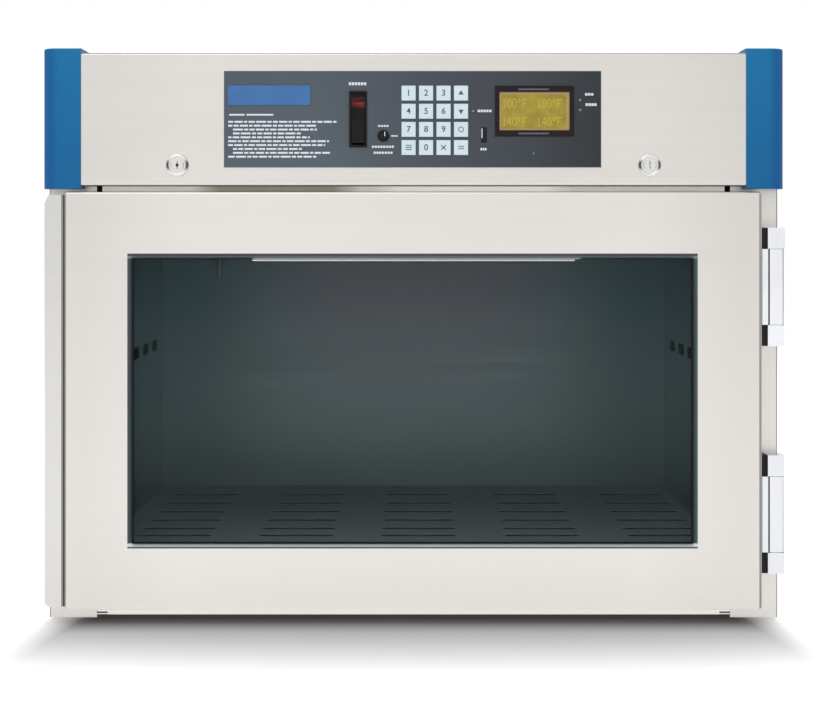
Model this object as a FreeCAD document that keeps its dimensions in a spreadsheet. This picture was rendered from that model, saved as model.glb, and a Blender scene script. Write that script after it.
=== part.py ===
import FreeCAD, Part
import math
import os
import Sketcher

# Countertop warming cabinet with a glazed door.
# Millimetres, +Z up, front towards -Y, origin on the floor under the middle of the whole object.

doc = FreeCAD.newDocument("warming_cabinet")
sheet = doc.addObject("Spreadsheet::Sheet", "Sizes")


class Formula:
    """A length worked out from the sheet: the expression that FreeCAD keeps, and its value now."""

    def __init__(self, text, value):
        self.text = text
        self.value = value

    def __add__(self, other):
        return joined(self, "+", other)

    def __radd__(self, other):
        return joined(other, "+", self)

    def __sub__(self, other):
        return joined(self, "-", other)

    def __rsub__(self, other):
        return joined(other, "-", self)

    def __mul__(self, other):
        return joined(self, "*", other)

    def __rmul__(self, other):
        return joined(other, "*", self)

    def __truediv__(self, other):
        return joined(self, "/", other)

    def __neg__(self):
        return joined(0, "-", self)


def as_formula(number):
    return number if isinstance(number, Formula) else Formula(repr(float(number)), float(number))


def joined(left, sign, right):
    left, right = as_formula(left), as_formula(right)
    results = {
        "+": left.value + right.value,
        "-": left.value - right.value,
        "*": left.value * right.value,
    }
    value = left.value / right.value if sign == "/" else results[sign]
    return Formula("(%s%s%s)" % (left.text, sign, right.text), value)


def size(alias, millimetres):
    """Writes one driving dimension into the next row of the sheet."""
    row = size.rows = getattr(size, "rows", 0) + 1
    sheet.set("A%d" % row, alias)
    sheet.set("B%d" % row, str(millimetres))
    sheet.setAlias("B%d" % row, alias)
    return Formula("Sizes.%s" % alias, float(millimetres))


# ---------------------------------------------------------------- overall and sheet metal
overall_depth = size("overall_depth", 660)
casing_width = size("casing_width", 768)
sheet_metal = size("sheet_metal", 1.2)
bend_radius = size("bend_radius", 2)
seat_gap = size("seat_gap", 0.3)
screw_radius = size("screw_radius", 2)
screw_head_radius = size("screw_head_radius", 4)
screw_head_height = size("screw_head_height", 2.2)
foot_radius = size("foot_radius", 20)
foot_inset = size("foot_inset", 60)
casing_clearance = size("casing_clearance", 3)
pan_height = size("pan_height", 6)
post_width = size("post_width", 50)
rear_flange = size("rear_flange", 18)
header_opening_lip = size("header_opening_lip", 14)
rail_notch_width = size("rail_notch_width", 5.5)
rail_notch_height = size("rail_notch_height", 11)
pan_notch_width = size("pan_notch_width", 11)
pan_notch_height = size("pan_notch_height", 3)
louvre_rise = size("louvre_rise", 6)
louvre_width = size("louvre_width", 72)
louvre_height = size("louvre_height", 12)
louvre_pitch = size("louvre_pitch", 20)
louvre_side = size("louvre_side", 190)

# ---------------------------------------------------------------- door
door_left_gap = size("door_left_gap", 20.5)
door_right_gap = size("door_right_gap", 22.5)
door_bottom = size("door_bottom", 15.4)
door_top_gap = size("door_top_gap", 6.1)
door_thickness = size("door_thickness", 25)
door_rail = size("door_rail", 64.4)
door_stile = size("door_stile", 65.2)
bezel_width = size("bezel_width", 5)
bezel_depth = size("bezel_depth", 7)
glass_thickness = size("glass_thickness", 4)
glass_bite = size("glass_bite", 9)
pane_gap = size("pane_gap", 6)
spacer_width = size("spacer_width", 7)
seal_gap = size("seal_gap", 3)
seal_width = size("seal_width", 14)
seal_inset = size("seal_inset", 12)

# ---------------------------------------------------------------- door pull
pull_groove = size("pull_groove", 3.4)
pull_plate = size("pull_plate", 17.6)
pull_return = size("pull_return", 7)
pull_web_depth = size("pull_web_depth", 12)
pull_flange = size("pull_flange", 10)
pull_metal = size("pull_metal", 1.5)
pull_end_gap = size("pull_end_gap", 3.2)
pull_corner_width = size("pull_corner_width", 4.2)
pull_corner_height = size("pull_corner_height", 9)

# ---------------------------------------------------------------- hinges
hinge_axis_out = size("hinge_axis_out", 16.8)
hinge_axis_back = size("hinge_axis_back", 10)
hinge_barrel = size("hinge_barrel", 8.7)
hinge_length = size("hinge_length", 123.6)
hinge_end_knuckle = size("hinge_end_knuckle", 22)
hinge_spacing = size("hinge_spacing", 237.4)
hinge_pin_radius = size("hinge_pin_radius", 4)
hinge_leaf = size("hinge_leaf", 3)
hinge_door_leaf = size("hinge_door_leaf", 2)
hinge_end_play = size("hinge_end_play", 0.3)
running_clearance = size("running_clearance", 0.05)
hinge_pad_front = size("hinge_pad_front", 6)

# ---------------------------------------------------------------- header
header_room = size("header_room", 134)
header_height = size("header_height", 138.6)
cap_front_width = size("cap_front_width", 40.5)
cap_wall = size("cap_wall", 3)
cap_front_wall = size("cap_front_wall", 3)
cap_proud = size("cap_proud", 1)
cap_depth = size("cap_depth", 72)
cap_above = size("cap_above", 4.8)
cap_below = size("cap_below", 3)
cap_corner_radius = size("cap_corner_radius", 16)
cap_edge_radius = size("cap_edge_radius", 2)

# ---------------------------------------------------------------- chamber and insulation
chamber_width = size("chamber_width", 660)
chamber_floor = size("chamber_floor", 76)
chamber_height = size("chamber_height", 334)
rear_room = size("rear_room", 59.05)
liner_metal = size("liner_metal", 1)
liner_flange = size("liner_flange", 10)
slot_length = size("slot_length", 55)
slot_height = size("slot_height", 14)
slot_level = size("slot_level", 189)
slot_first = size("slot_first", 143)
slot_last = size("slot_last", 86)
insulation_thickness = size("insulation_thickness", 25)
screw_room = size("screw_room", 8)
blower_room = size("blower_room", 52)
ceiling_duct_width = size("ceiling_duct_width", 345)
ceiling_duct_drop = size("ceiling_duct_drop", 31)
ceiling_duct_front = size("ceiling_duct_front", 60)
ceiling_duct_rear = size("ceiling_duct_rear", 49)
duct_slot_width = size("duct_slot_width", 12)
duct_slot_length = size("duct_slot_length", 90)

# ---------------------------------------------------------------- blower, heater and electronics
blower_rear = size("blower_rear", 113.75)
wheel_radius = size("wheel_radius", 55)
wheel_height = size("wheel_height", 30)
wheel_disc = size("wheel_disc", 2)
blade_chord = size("blade_chord", 12)
blade_thickness = size("blade_thickness", 1)
wheel_gap = size("wheel_gap", 6)
scroll_outlet = size("scroll_outlet", 110)
scroll_wall = size("scroll_wall", 1.5)
inlet_radius = size("inlet_radius", 38)
shaft_radius = size("shaft_radius", 4)
motor_radius = size("motor_radius", 42)
motor_height = size("motor_height", 62)
heater_radius = size("heater_radius", 4)
heater_bend = size("heater_bend", 18)
heater_length = size("heater_length", 110)
probe_radius = size("probe_radius", 2.5)
probe_length = size("probe_length", 70)
supply_length = size("supply_length", 170)
supply_width = size("supply_width", 98)
supply_height = size("supply_height", 45)
inlet_width = size("inlet_width", 30)
inlet_height = size("inlet_height", 22)
inlet_depth = size("inlet_depth", 22)
inlet_flange = size("inlet_flange", 5)
inlet_side = size("inlet_side", 300)
inlet_drop = size("inlet_drop", 66)
socket_wall = size("socket_wall", 2.5)

# ---------------------------------------------------------------- control panel
panel_width = size("panel_width", 393)
panel_height = size("panel_height", 100.5)
panel_drop = size("panel_drop", 69.2)
panel_thickness = size("panel_thickness", 1)
key_pitch_across = size("key_pitch_across", 18.2)
key_pitch_up = size("key_pitch_up", 18.9)
key_width = size("key_width", 14.8)
key_height = size("key_height", 15.6)
key_proud = size("key_proud", 1.6)
key_travel = size("key_travel", 1)
key_clearance = size("key_clearance", 0.25)
key_flange = size("key_flange", 1)
key_stem_radius = size("key_stem_radius", 2)
key_stem = size("key_stem", 5)
keypad_centre = size("keypad_centre", 22.2)
board_back = size("board_back", 12)
board_thickness = size("board_thickness", 1.6)
switch_size = size("switch_size", 6)
spacer_radius = size("spacer_radius", 3)
display_centre = size("display_centre", 126)
display_level = size("display_level", 8.4)
display_width = size("display_width", 82.3)
display_height = size("display_height", 52.7)
glass_width = size("glass_width", 73.1)
glass_height = size("glass_height", 39.9)
display_bezel_proud = size("display_bezel_proud", 0.8)
display_border = size("display_border", 2.5)
display_depth = size("display_depth", 6)
rocker_centre = size("rocker_centre", -57.7)
rocker_frame_width = size("rocker_frame_width", 18.4)
rocker_frame_height = size("rocker_frame_height", 58.4)
rocker_frame_border = size("rocker_frame_border", 2.4)
rocker_frame_proud = size("rocker_frame_proud", 1.2)
rocker_depth = size("rocker_depth", 26)
rocker_clearance = size("rocker_clearance", 0.4)
rocker_tilt = size("rocker_tilt", 4)
rocker_valley = size("rocker_valley", 0.2)
rocker_pivot_back = size("rocker_pivot_back", 8)
rocker_pivot_radius = size("rocker_pivot_radius", 1.5)
rocker_body = size("rocker_body", 6)
key_switch_centre = size("key_switch_centre", -31.4)
key_switch_level = size("key_switch_level", -17.5)
key_switch_radius = size("key_switch_radius", 6)
key_switch_barrel = size("key_switch_barrel", 5)
key_switch_plug = size("key_switch_plug", 3.4)
key_switch_depth = size("key_switch_depth", 22)
key_switch_nut = size("key_switch_nut", 8)
usb_centre = size("usb_centre", 73.4)
usb_level = size("usb_level", -16.4)
usb_width = size("usb_width", 5.2)
usb_height = size("usb_height", 15)
usb_wall = size("usb_wall", 0.4)
usb_depth = size("usb_depth", 13)
usb_tongue = size("usb_tongue", 1.8)
lamp_radius = size("lamp_radius", 1.5)
lamp_left = size("lamp_left", 62)
lamp_right = size("lamp_right", 173.5)
lamp_pitch = size("lamp_pitch", 10.4)

# ---------------------------------------------------------------- header locks
lock_side = size("lock_side", 246)
lock_rise = size("lock_rise", 21.6)
lock_face_radius = size("lock_face_radius", 11.5)
lock_proud = size("lock_proud", 3)
lock_barrel_radius = size("lock_barrel_radius", 9)
lock_barrel_length = size("lock_barrel_length", 20)
lock_plug_radius = size("lock_plug_radius", 6)
lock_cam_thickness = size("lock_cam_thickness", 2)
lock_cam_reach = size("lock_cam_reach", 13)
lock_cam_width = size("lock_cam_width", 11)
keyway_width = size("keyway_width", 1.2)
keyway_depth = size("keyway_depth", 6)
keeper_height = size("keeper_height", 10)
keeper_width = size("keeper_width", 26)

# ---------------------------------------------------------------- planes that several pieces share
half_casing = casing_width / 2
rocker_half = rocker_frame_height / 2 - rocker_frame_border - rocker_clearance * 3
rocker_angle = math.radians(rocker_tilt.value)
rocker_rise = rocker_half * math.tan(rocker_angle)
rocker_reach = rocker_valley + rocker_rise + rocker_pivot_back
front_reach = (panel_thickness + rocker_reach * math.cos(rocker_angle)
               + rocker_half * math.sin(rocker_angle) - rocker_pivot_back)
door_front = front_reach - overall_depth / 2
post_front = door_front + door_thickness + seal_gap
casing_back = overall_depth / 2 - louvre_rise
wrap_back = casing_back - sheet_metal
inner_side = half_casing - sheet_metal
post_inner = half_casing - post_width
half_chamber = chamber_width / 2
chamber_top = chamber_floor + chamber_height
chamber_rear = wrap_back - rear_room
deck_height = chamber_top + blower_room
casing_top = deck_height + header_room
pan_top = pan_height + sheet_metal
deck_under = deck_height - sheet_metal
header_bottom = casing_top - header_height
panel_level = casing_top - panel_drop
inlet_level = casing_top - inlet_drop
lock_level = header_bottom + lock_rise
cap_outer = half_casing + cap_wall
cap_inner = cap_outer - cap_front_width
door_left = door_left_gap - half_casing
door_right = half_casing - door_right_gap
door_top = header_bottom - door_top_gap
door_back = door_front + door_thickness
window_left = door_left + door_stile
window_right = door_right - door_stile
window_bottom = door_bottom + door_rail - seat_gap
window_top = door_top - door_rail
panel_front = door_front - panel_thickness
hinge_x = door_right + hinge_axis_out
hinge_y = door_front + hinge_axis_back
hinge_levels = [(door_bottom + door_top) / 2 + side * hinge_spacing / 2 for side in (-1, 1)]
key_switch_z = panel_level + key_switch_level
display_z = panel_level + display_level
usb_z = panel_level + usb_level
board_front = door_front + board_back

pieces = {}


# ---------------------------------------------------------------- building blocks
def bind(thing, **formulas):
    """Ties properties of a document object to the sheet."""
    for name, formula in formulas.items():
        thing.setExpression(name.replace("__", "."), as_formula(formula).text)
    return thing


def block(x0, x1, y0, y1, z0, z1):
    """A rectangular block between six planes."""
    thing = doc.addObject("Part::Box", "block")
    return bind(thing, Length=x1 - x0, Width=y1 - y0, Height=z1 - z0,
                Placement__Base__x=x0, Placement__Base__y=y0, Placement__Base__z=z0)


TURNS = {
    "x": FreeCAD.Rotation(FreeCAD.Vector(0, 1, 0), 90),
    "y": FreeCAD.Rotation(FreeCAD.Vector(1, 0, 0), -90),
    "z": FreeCAD.Rotation(),
}


def rod(axis, x, y, z, radius, length, kind="Part::Cylinder"):
    """A round bar that starts at a point and runs along +X, +Y or +Z."""
    thing = doc.addObject(kind, "rod")
    thing.Placement = FreeCAD.Placement(FreeCAD.Vector(), TURNS[axis])
    return bind(thing, Radius=radius, Height=length,
                Placement__Base__x=x, Placement__Base__y=y, Placement__Base__z=z)


def fused(*things):
    thing = doc.addObject("Part::MultiFuse", "fused")
    thing.Shapes = list(things)
    thing.Refine = True
    return thing


def cut(base, *tools):
    """The base with every tool taken out of it."""
    thing = doc.addObject("Part::Cut", "cut")
    thing.Base = base
    thing.Tool = tools[0] if len(tools) == 1 else grouped(*tools)
    return thing


def shared(base, zone):
    """What two objects have in common."""
    thing = doc.addObject("Part::Common", "shared")
    thing.Base = base
    thing.Tool = zone
    return thing


def grouped(*things):
    """Separate solids kept together as one piece."""
    thing = doc.addObject("Part::Compound", "grouped")
    thing.Links = list(things)
    return thing


def turned(thing, axis, degrees, x, y, z):
    """Turns an object about a line through a point, by an angle."""
    turn = FreeCAD.Rotation(axis, degrees)
    about = FreeCAD.Vector(x.value, y.value, z.value)
    move = FreeCAD.Placement(about - turn.multVec(about), turn)
    holder = doc.addObject("Part::Feature", "turned")
    doc.recompute()
    holder.Shape = thing.Shape.copy()
    holder.Placement = move.multiply(holder.Placement)
    return holder


PLANES = {"xy": ("XY_Plane", 1), "xz": ("XZ_Plane", -1), "yz": ("YZ_Plane", 1)}


def sketch_on(body, plane, offset):
    """A sketch on one of the body's own planes, moved along that plane's normal."""
    role, sign = PLANES[plane]
    sketch = body.newObject("Sketcher::SketchObject", "sketch")
    origin_plane = [f for f in body.Origin.OriginFeatures if f.Role == role][0]
    sketch.AttachmentSupport = (origin_plane, [""])
    sketch.MapMode = "FlatFace"
    sketch.setExpression("AttachmentOffset.Base.z", as_formula(sign * offset).text)
    return sketch


def draw_outline(sketch, points):
    """Straight edges through the points, each point held by two bound distances."""
    ends = [FreeCAD.Vector(as_formula(x).value, as_formula(y).value, 0) for x, y in points]
    count = len(points)
    first = sketch.GeometryCount
    for i in range(count):
        sketch.addGeometry(Part.LineSegment(ends[i], ends[(i + 1) % count]), False)
    for i in range(count):
        edge, after = first + i, first + (i + 1) % count
        sketch.addConstraint(Sketcher.Constraint("Coincident", edge, 2, after, 1))
    for i, (x, y) in enumerate(points):
        for kind, coordinate in (("DistanceX", x), ("DistanceY", y)):
            formula = as_formula(coordinate)
            rule = Sketcher.Constraint(kind, -1, 1, first + i, 1, formula.value)
            number = sketch.addConstraint(rule)
            sketch.setExpression("Constraints[%d]" % number, formula.text)


def pad(body, plane, outlines, start, length):
    """Extrudes outlines, the later ones as holes, from a start plane along the positive axis."""
    sketch = sketch_on(body, plane, start)
    for outline in outlines:
        draw_outline(sketch, outline)
    feature = body.newObject("PartDesign::Pad", "pad")
    feature.Profile = sketch
    feature.Reversed = PLANES[plane][1] < 0
    return bind(feature, Length=length)


def new_body():
    return doc.addObject("PartDesign::Body", "body")


def profile(plane, outlines, start, length):
    """A body of one constant section."""
    body = new_body()
    pad(body, plane, outlines, start, length)
    return body


def rectangle(x0, x1, y0, y1):
    return [(x0, y0), (x1, y0), (x1, y1), (x0, y1)]


def edges_where(body, test):
    """Names of the body's edges whose two ends pass a test."""
    doc.recompute()
    return ["Edge%d" % (i + 1) for i, edge in enumerate(body.Shape.Edges)
            if len(edge.Vertexes) == 2 and test(edge.Vertexes[0].Point, edge.Vertexes[1].Point)]


def dress(body, kind, test, **formulas):
    """A fillet or chamfer on the edges that pass a test."""
    names = edges_where(body, test)
    base = body.Tip
    feature = body.newObject("PartDesign::" + kind, kind.lower())
    feature.Base = (base, names)
    return bind(feature, **formulas)


def close_to(number, formula):
    return abs(number - as_formula(formula).value) < 0.01


def piece(label, thing):
    thing.Label = label
    pieces[label] = thing
    return thing


def screw(axis, x, y, z, shank, outward):
    """A pan-head screw: its shank runs into the object, its head lies outside the start point."""
    head_start = -screw_head_height if outward < 0 else 0
    offsets = {"x": (head_start, 0, 0), "y": (0, head_start, 0), "z": (0, 0, head_start)}[axis]
    dx, dy, dz = offsets
    head = rod(axis, x + dx, y + dy, z + dz, screw_head_radius, screw_head_height)
    back = -shank if outward > 0 else 0
    bx, by, bz = {"x": (back, 0, 0), "y": (0, back, 0), "z": (0, 0, back)}[axis]
    return fused(head, rod(axis, x + bx, y + by, z + bz, screw_radius, shank))


def either_side(side, near, far, y0, y1, z0, z1):
    """A block between two distances from the middle, on the right (+1) or the left (-1)."""
    if side > 0:
        return block(near, far, y0, y1, z0, z1)
    return block(-far, -near, y0, y1, z0, z1)


def obround(x0, x1, y, z, length, height):
    """A slot tool with round ends, running along Y and cutting along X."""
    radius = height / 2
    straight = length / 2 - radius
    middle = block(x0, x1, y - straight, y + straight, z - radius, z + radius)
    ends = [rod("x", x0, y + end * straight, z, radius, x1 - x0) for end in (-1, 1)]
    return fused(middle, *ends)


def ring(y0, thickness, outer, inner):
    """A flat frame that faces the front, between two rectangles."""
    return profile("xz", [rectangle(*outer), rectangle(*inner)], y0, thickness)


def inset(rect, margin):
    x0, x1, z0, z1 = rect
    return (x0 + margin, x1 - margin, z0 + margin, z1 - margin)


OVERCUT = 1
door_rect = (door_left, door_right, door_bottom, door_top)
window_rect = (window_left, window_right, window_bottom, window_top)
pane_rect = inset(window_rect, -glass_bite)
screw_hole = screw_radius + running_clearance

blower_y = chamber_rear - blower_rear
scroll_bottom = chamber_top + liner_metal
wheel_bottom = scroll_bottom + scroll_wall + wheel_gap
wheel_top = wheel_bottom + wheel_height
heater_front = blower_y + scroll_wall * 2 + heater_bend
heater_level = scroll_bottom + heater_bend + heater_radius
heater_start = scroll_outlet + heater_radius * 2
probe_x = -half_chamber + foot_inset + foot_radius
probe_y = chamber_rear - foot_inset
inlet_x = -inlet_side

column_places = [keypad_centre + (column - 1.5) * key_pitch_across for column in range(4)]
row_places = [panel_level + (1.5 - row) * key_pitch_up - seat_gap * 4 for row in range(4)]
lamp_places = [
    (lamp_left, display_z),
    (lamp_right, display_z + lamp_pitch / 2 + board_thickness * 4),
    (lamp_right, display_z - lamp_pitch / 2 + board_thickness * 4),
]

flange_middle = half_casing - sheet_metal - rear_flange / 2
wrap_height = casing_top - casing_clearance
back_screw_places = (
    [(side * flange_middle, casing_clearance + wrap_height * share)
     for side in (-1, 1) for share in (0.08, 0.36, 0.64, 0.92)]
    + [(casing_width * share, casing_top - sheet_metal - rear_flange / 2) for share in (-0.25, 0, 0.25)]
    + [(casing_width * share, pan_height + rear_flange / 2) for share in (-0.25, 0, 0.25)]
)
leaf_screw_x = (hinge_x - hinge_barrel + half_casing) / 2
leaf_screw_places = [(leaf_screw_x, level + side * hinge_length / 5)
                     for level in hinge_levels for side in (-1, 1)]


# ---------------------------------------------------------------- casing
def outer_wrap():
    """Two side sheets, bent at the front into the corner posts, under a top sheet with a front
    lip, all welded. Three strips inside the rear edges take the screws of the back panel."""
    shell = profile("xy", [rectangle(-half_casing, half_casing, post_front, wrap_back)],
                    casing_clearance, wrap_height)
    dress(shell, "Fillet", lambda a, b: close_to(a.x, b.x) and close_to(abs(a.x), half_casing)
          and (close_to(a.y, post_front) and close_to(b.y, post_front)
               or close_to(a.z, casing_top) and close_to(b.z, casing_top)), Radius=bend_radius)
    room = block(-inner_side, inner_side, post_front + sheet_metal, wrap_back + OVERCUT,
                 0, casing_top - sheet_metal)
    mouth = block(-post_inner, post_inner, post_front - OVERCUT, post_front + sheet_metal * 2,
                  0, casing_top - header_opening_lip)
    leaf_holes = [rod("y", x, post_front - OVERCUT, z, screw_hole, sheet_metal + 2 * OVERCUT)
                  for x, z in leaf_screw_places]
    sheets = cut(shell, room, mouth, *leaf_holes)
    side_zones = [either_side(side, post_inner, half_casing + OVERCUT, post_front - OVERCUT,
                              wrap_back + OVERCUT, 0, casing_top - bend_radius) for side in (-1, 1)]
    walls = [shared(sheets, zone) for zone in side_zones]
    strip_front = wrap_back - sheet_metal
    strip_under = casing_top - sheet_metal - rear_flange
    strips = [either_side(side, inner_side - rear_flange, inner_side, strip_front, wrap_back,
                          casing_clearance, strip_under) for side in (-1, 1)]
    strips.append(block(-inner_side, inner_side, strip_front, wrap_back,
                        strip_under, casing_top - sheet_metal))
    drilled = []
    for strip, first, last in zip(strips, (0, 4, 8), (4, 8, 11)):
        holes = [rod("y", x, strip_front - OVERCUT, z, screw_hole, sheet_metal + 2 * OVERCUT)
                 for x, z in back_screw_places[first:last]]
        drilled.append(cut(strip, *holes))
    piece("outer_wrap", grouped(cut(sheets, *side_zones), *walls, *drilled))


def louvre_places():
    return [(side * louvre_side, casing_top - louvre_side / 2 - row * louvre_pitch)
            for side in (-1, 1) for row in range(6)]


def back_panel():
    """Flat sheet with two banks of louvres for the control compartment, and the mains inlet hole."""
    plate = block(-half_casing, half_casing, wrap_back, casing_back, casing_clearance, casing_top)
    tools = [rod("y", x, wrap_back - OVERCUT, z, screw_hole, sheet_metal + 2 * OVERCUT)
             for x, z in back_screw_places]
    tools.append(block(inlet_x - inlet_width / 2, inlet_x + inlet_width / 2, wrap_back - OVERCUT,
                       casing_back + OVERCUT, inlet_level - inlet_height / 2, inlet_level + inlet_height / 2))
    hoods = []
    for x, z in louvre_places():
        tools.append(block(x - louvre_width / 2, x + louvre_width / 2, wrap_back - OVERCUT,
                           casing_back + OVERCUT, z, z + louvre_height - sheet_metal * 2))
        hood = [(wrap_back, z + louvre_height), (casing_back + louvre_rise, z + sheet_metal),
                (casing_back + louvre_rise, z), (casing_back + louvre_rise - sheet_metal, z),
                (wrap_back, z + louvre_height - sheet_metal * 2)]
        hoods.append(profile("yz", [hood], x - louvre_width / 2, louvre_width))
    piece("back_panel", fused(cut(plate, *tools), *hoods))


def bottom_pan():
    """Floor tray, with the lower front rail and a rear flange folded up."""
    rail_half = post_inner - seat_gap
    floor = block(-inner_side, inner_side, post_front + sheet_metal, wrap_back - sheet_metal,
                  pan_height, pan_top)
    rail = block(-rail_half, rail_half, post_front, post_front + sheet_metal,
                 pan_height, chamber_floor - liner_metal * 2)
    rear_half = inner_side - rear_flange - seat_gap
    rear = block(-rear_half, rear_half, wrap_back - sheet_metal * 2, wrap_back,
                 pan_height, pan_height + rear_flange)
    notches = [either_side(side, rail_half - pan_notch_width, rail_half, post_front - OVERCUT,
                           post_front + sheet_metal, 0, pan_height + pan_notch_height) for side in (-1, 1)]
    holes = [rod("y", x, wrap_back - sheet_metal * 3, z, screw_hole, sheet_metal * 4)
             for x, z in back_screw_places[11:]]
    piece("bottom_pan", cut(fused(floor, rail, rear), *notches, *holes))


def rubber_feet():
    feet = []
    for side in (-1, 1):
        for y in (post_front + foot_inset, wrap_back - foot_inset):
            foot = rod("z", side * (half_casing - foot_inset), y, 0, foot_radius, pan_height)
            feet.append(foot)
    piece("rubber_feet", grouped(*feet))


def deck_panel():
    """Shelf over the chamber that carries the electronics; its front fold is the upper rail.
    A strip welded along each end joins it to the casing."""
    rail_half = post_inner - seat_gap
    plate = block(-inner_side, inner_side, post_front + sheet_metal, wrap_back - sheet_metal,
                  deck_under, deck_height)
    rail = block(-rail_half, rail_half, post_front, post_front + sheet_metal,
                 chamber_top + liner_metal * 2, deck_height)
    sides = [either_side(side, inner_side - sheet_metal, inner_side, post_front + sheet_metal,
                         wrap_back - sheet_metal, deck_height, deck_height + keeper_height)
             for side in (-1, 1)]
    keepers = [block(side * lock_side - keeper_width / 2, side * lock_side + keeper_width / 2,
                     post_front, post_front + sheet_metal, deck_under, deck_height + keeper_height)
               for side in (-1, 1)]
    notches = [either_side(side, rail_half - rail_notch_width, rail_half + OVERCUT, post_front - OVERCUT,
                           post_front + sheet_metal, deck_height - rail_notch_height,
                           deck_height + OVERCUT) for side in (-1, 1)]
    shaft_hole = rod("z", 0, blower_y, deck_under - OVERCUT, shaft_radius * 3, sheet_metal + 2 * OVERCUT)
    heater_holes = [rod("z", heater_start, heater_front + end * heater_bend * 2, deck_under - OVERCUT,
                        heater_radius + seat_gap, sheet_metal + 2 * OVERCUT) for end in (0, 1)]
    shelf = cut(fused(plate, rail, *keepers), *notches, shaft_hole, *heater_holes)
    piece("deck_panel", grouped(shelf, *sides))


# ---------------------------------------------------------------- chamber
def slot_places():
    first = door_front + slot_first
    pitch = (chamber_rear - slot_last - first) / 4
    return [first + number * pitch for number in range(5)]


def chamber_liner():
    """Stainless box open at the front, with a row of air slots along each side wall."""
    outer = half_chamber + liner_metal
    start = post_front + sheet_metal
    box = block(-outer, outer, start, chamber_rear + liner_metal,
                chamber_floor - liner_metal, chamber_top + liner_metal)
    flange = block(-outer - liner_flange, outer + liner_flange, start, start + liner_metal,
                   chamber_floor - liner_flange, chamber_top + liner_flange)
    room = block(-half_chamber, half_chamber, start - OVERCUT, chamber_rear, chamber_floor, chamber_top)
    slots = [obround(-outer - OVERCUT, outer + OVERCUT, y, chamber_floor + slot_level,
                     slot_length, slot_height) for y in slot_places()]
    intake = rod("z", 0, blower_y, chamber_top - OVERCUT, inlet_radius, liner_metal + 2 * OVERCUT)
    probe_hole = rod("z", probe_x, probe_y, chamber_top - OVERCUT, probe_radius + running_clearance,
                     liner_metal + 2 * OVERCUT)
    piece("chamber_liner", cut(fused(box, flange), room, *slots, intake, probe_hole))


def insulation():
    """Mineral wool slabs round the chamber; those at the sides leave half the room to the air ducts."""
    slab_inner = (inner_side + half_chamber + liner_metal) / 2
    front = post_front + sheet_metal + liner_metal
    back = wrap_back - screw_room
    sides = [either_side(side, slab_inner, inner_side, post_front + screw_room, back, pan_top, deck_under)
             for side in (-1, 1)]
    bottom = block(-slab_inner, slab_inner, front, back, pan_top, chamber_floor - liner_metal)
    rear = block(-slab_inner, slab_inner, back - insulation_thickness, back,
                 chamber_floor - liner_metal, deck_under)
    top = block(-slab_inner, slab_inner, front, blower_y - wheel_radius * 2,
                chamber_top + liner_metal, deck_under)
    piece("insulation", grouped(*sides, bottom, rear, top))


def ceiling_air_duct():
    """Shallow tray under the chamber ceiling, with return air slots in its bottom."""
    half = ceiling_duct_width / 2
    front = door_front + ceiling_duct_front
    rear = chamber_rear - ceiling_duct_rear
    slot_pitch = (rear - front) / 8
    low = chamber_top - ceiling_duct_drop
    tray = block(-half, half, front, rear, low, chamber_top)
    room = block(sheet_metal - half, half - sheet_metal, front + sheet_metal,
                 rear - sheet_metal, low + sheet_metal, chamber_top + OVERCUT)
    slots = [block(-duct_slot_length / 2, duct_slot_length / 2, front + (number + 1) * slot_pitch,
                   front + (number + 1) * slot_pitch + duct_slot_width, low - OVERCUT,
                   low + sheet_metal + OVERCUT) for number in range(7)]
    piece("ceiling_air_duct", cut(tray, room, *slots))


# ---------------------------------------------------------------- blower and heater
def blower_scroll():
    """Fan housing between the liner and the deck, blowing out to the right over the heater."""
    def form(gap):
        radius = wheel_radius + wheel_gap + scroll_wall - gap
        low, high = scroll_bottom + gap, deck_under - gap
        drum = rod("z", 0, blower_y, low, radius, high - low)
        mouth = block(0, scroll_outlet + (OVERCUT if gap is scroll_wall else 0), blower_y + gap,
                      blower_y + radius, low, high)
        return fused(drum, mouth)
    no_gap = scroll_wall * 0
    inlet = rod("z", 0, blower_y, scroll_bottom - OVERCUT, inlet_radius, scroll_wall + 2 * OVERCUT)
    shaft_hole = rod("z", 0, blower_y, deck_under - scroll_wall - OVERCUT, shaft_radius * 2,
                     scroll_wall + 2 * OVERCUT)
    piece("blower_scroll", cut(form(no_gap), form(scroll_wall), inlet, shaft_hole))


def blower_wheel():
    """Forward-curved fan wheel, its shaft running up into the motor."""
    disc = rod("z", 0, blower_y, wheel_top - wheel_disc, wheel_radius, wheel_disc)
    hub = rod("z", 0, blower_y, wheel_bottom + wheel_height / 2, shaft_radius * 2, wheel_height / 2)
    shaft = rod("z", 0, blower_y, wheel_bottom + wheel_height / 2, shaft_radius,
                deck_height + motor_height / 2 - wheel_bottom - wheel_height / 2)
    rim = cut(rod("z", 0, blower_y, wheel_bottom, wheel_radius, wheel_disc),
              rod("z", 0, blower_y, wheel_bottom - OVERCUT, wheel_radius - blade_chord,
                  wheel_disc + 2 * OVERCUT))
    blades = []
    for number in range(24):
        blade = block(wheel_radius - blade_chord, wheel_radius - OVERCUT / 2, blower_y,
                      blower_y + blade_thickness, wheel_bottom, wheel_top - wheel_disc / 2)
        blades.append(turned(blade, FreeCAD.Vector(0, 0, 1), number * 15, as_formula(0), blower_y,
                             as_formula(0)))
    piece("blower_wheel", fused(disc, hub, shaft, rim, *blades))


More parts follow.
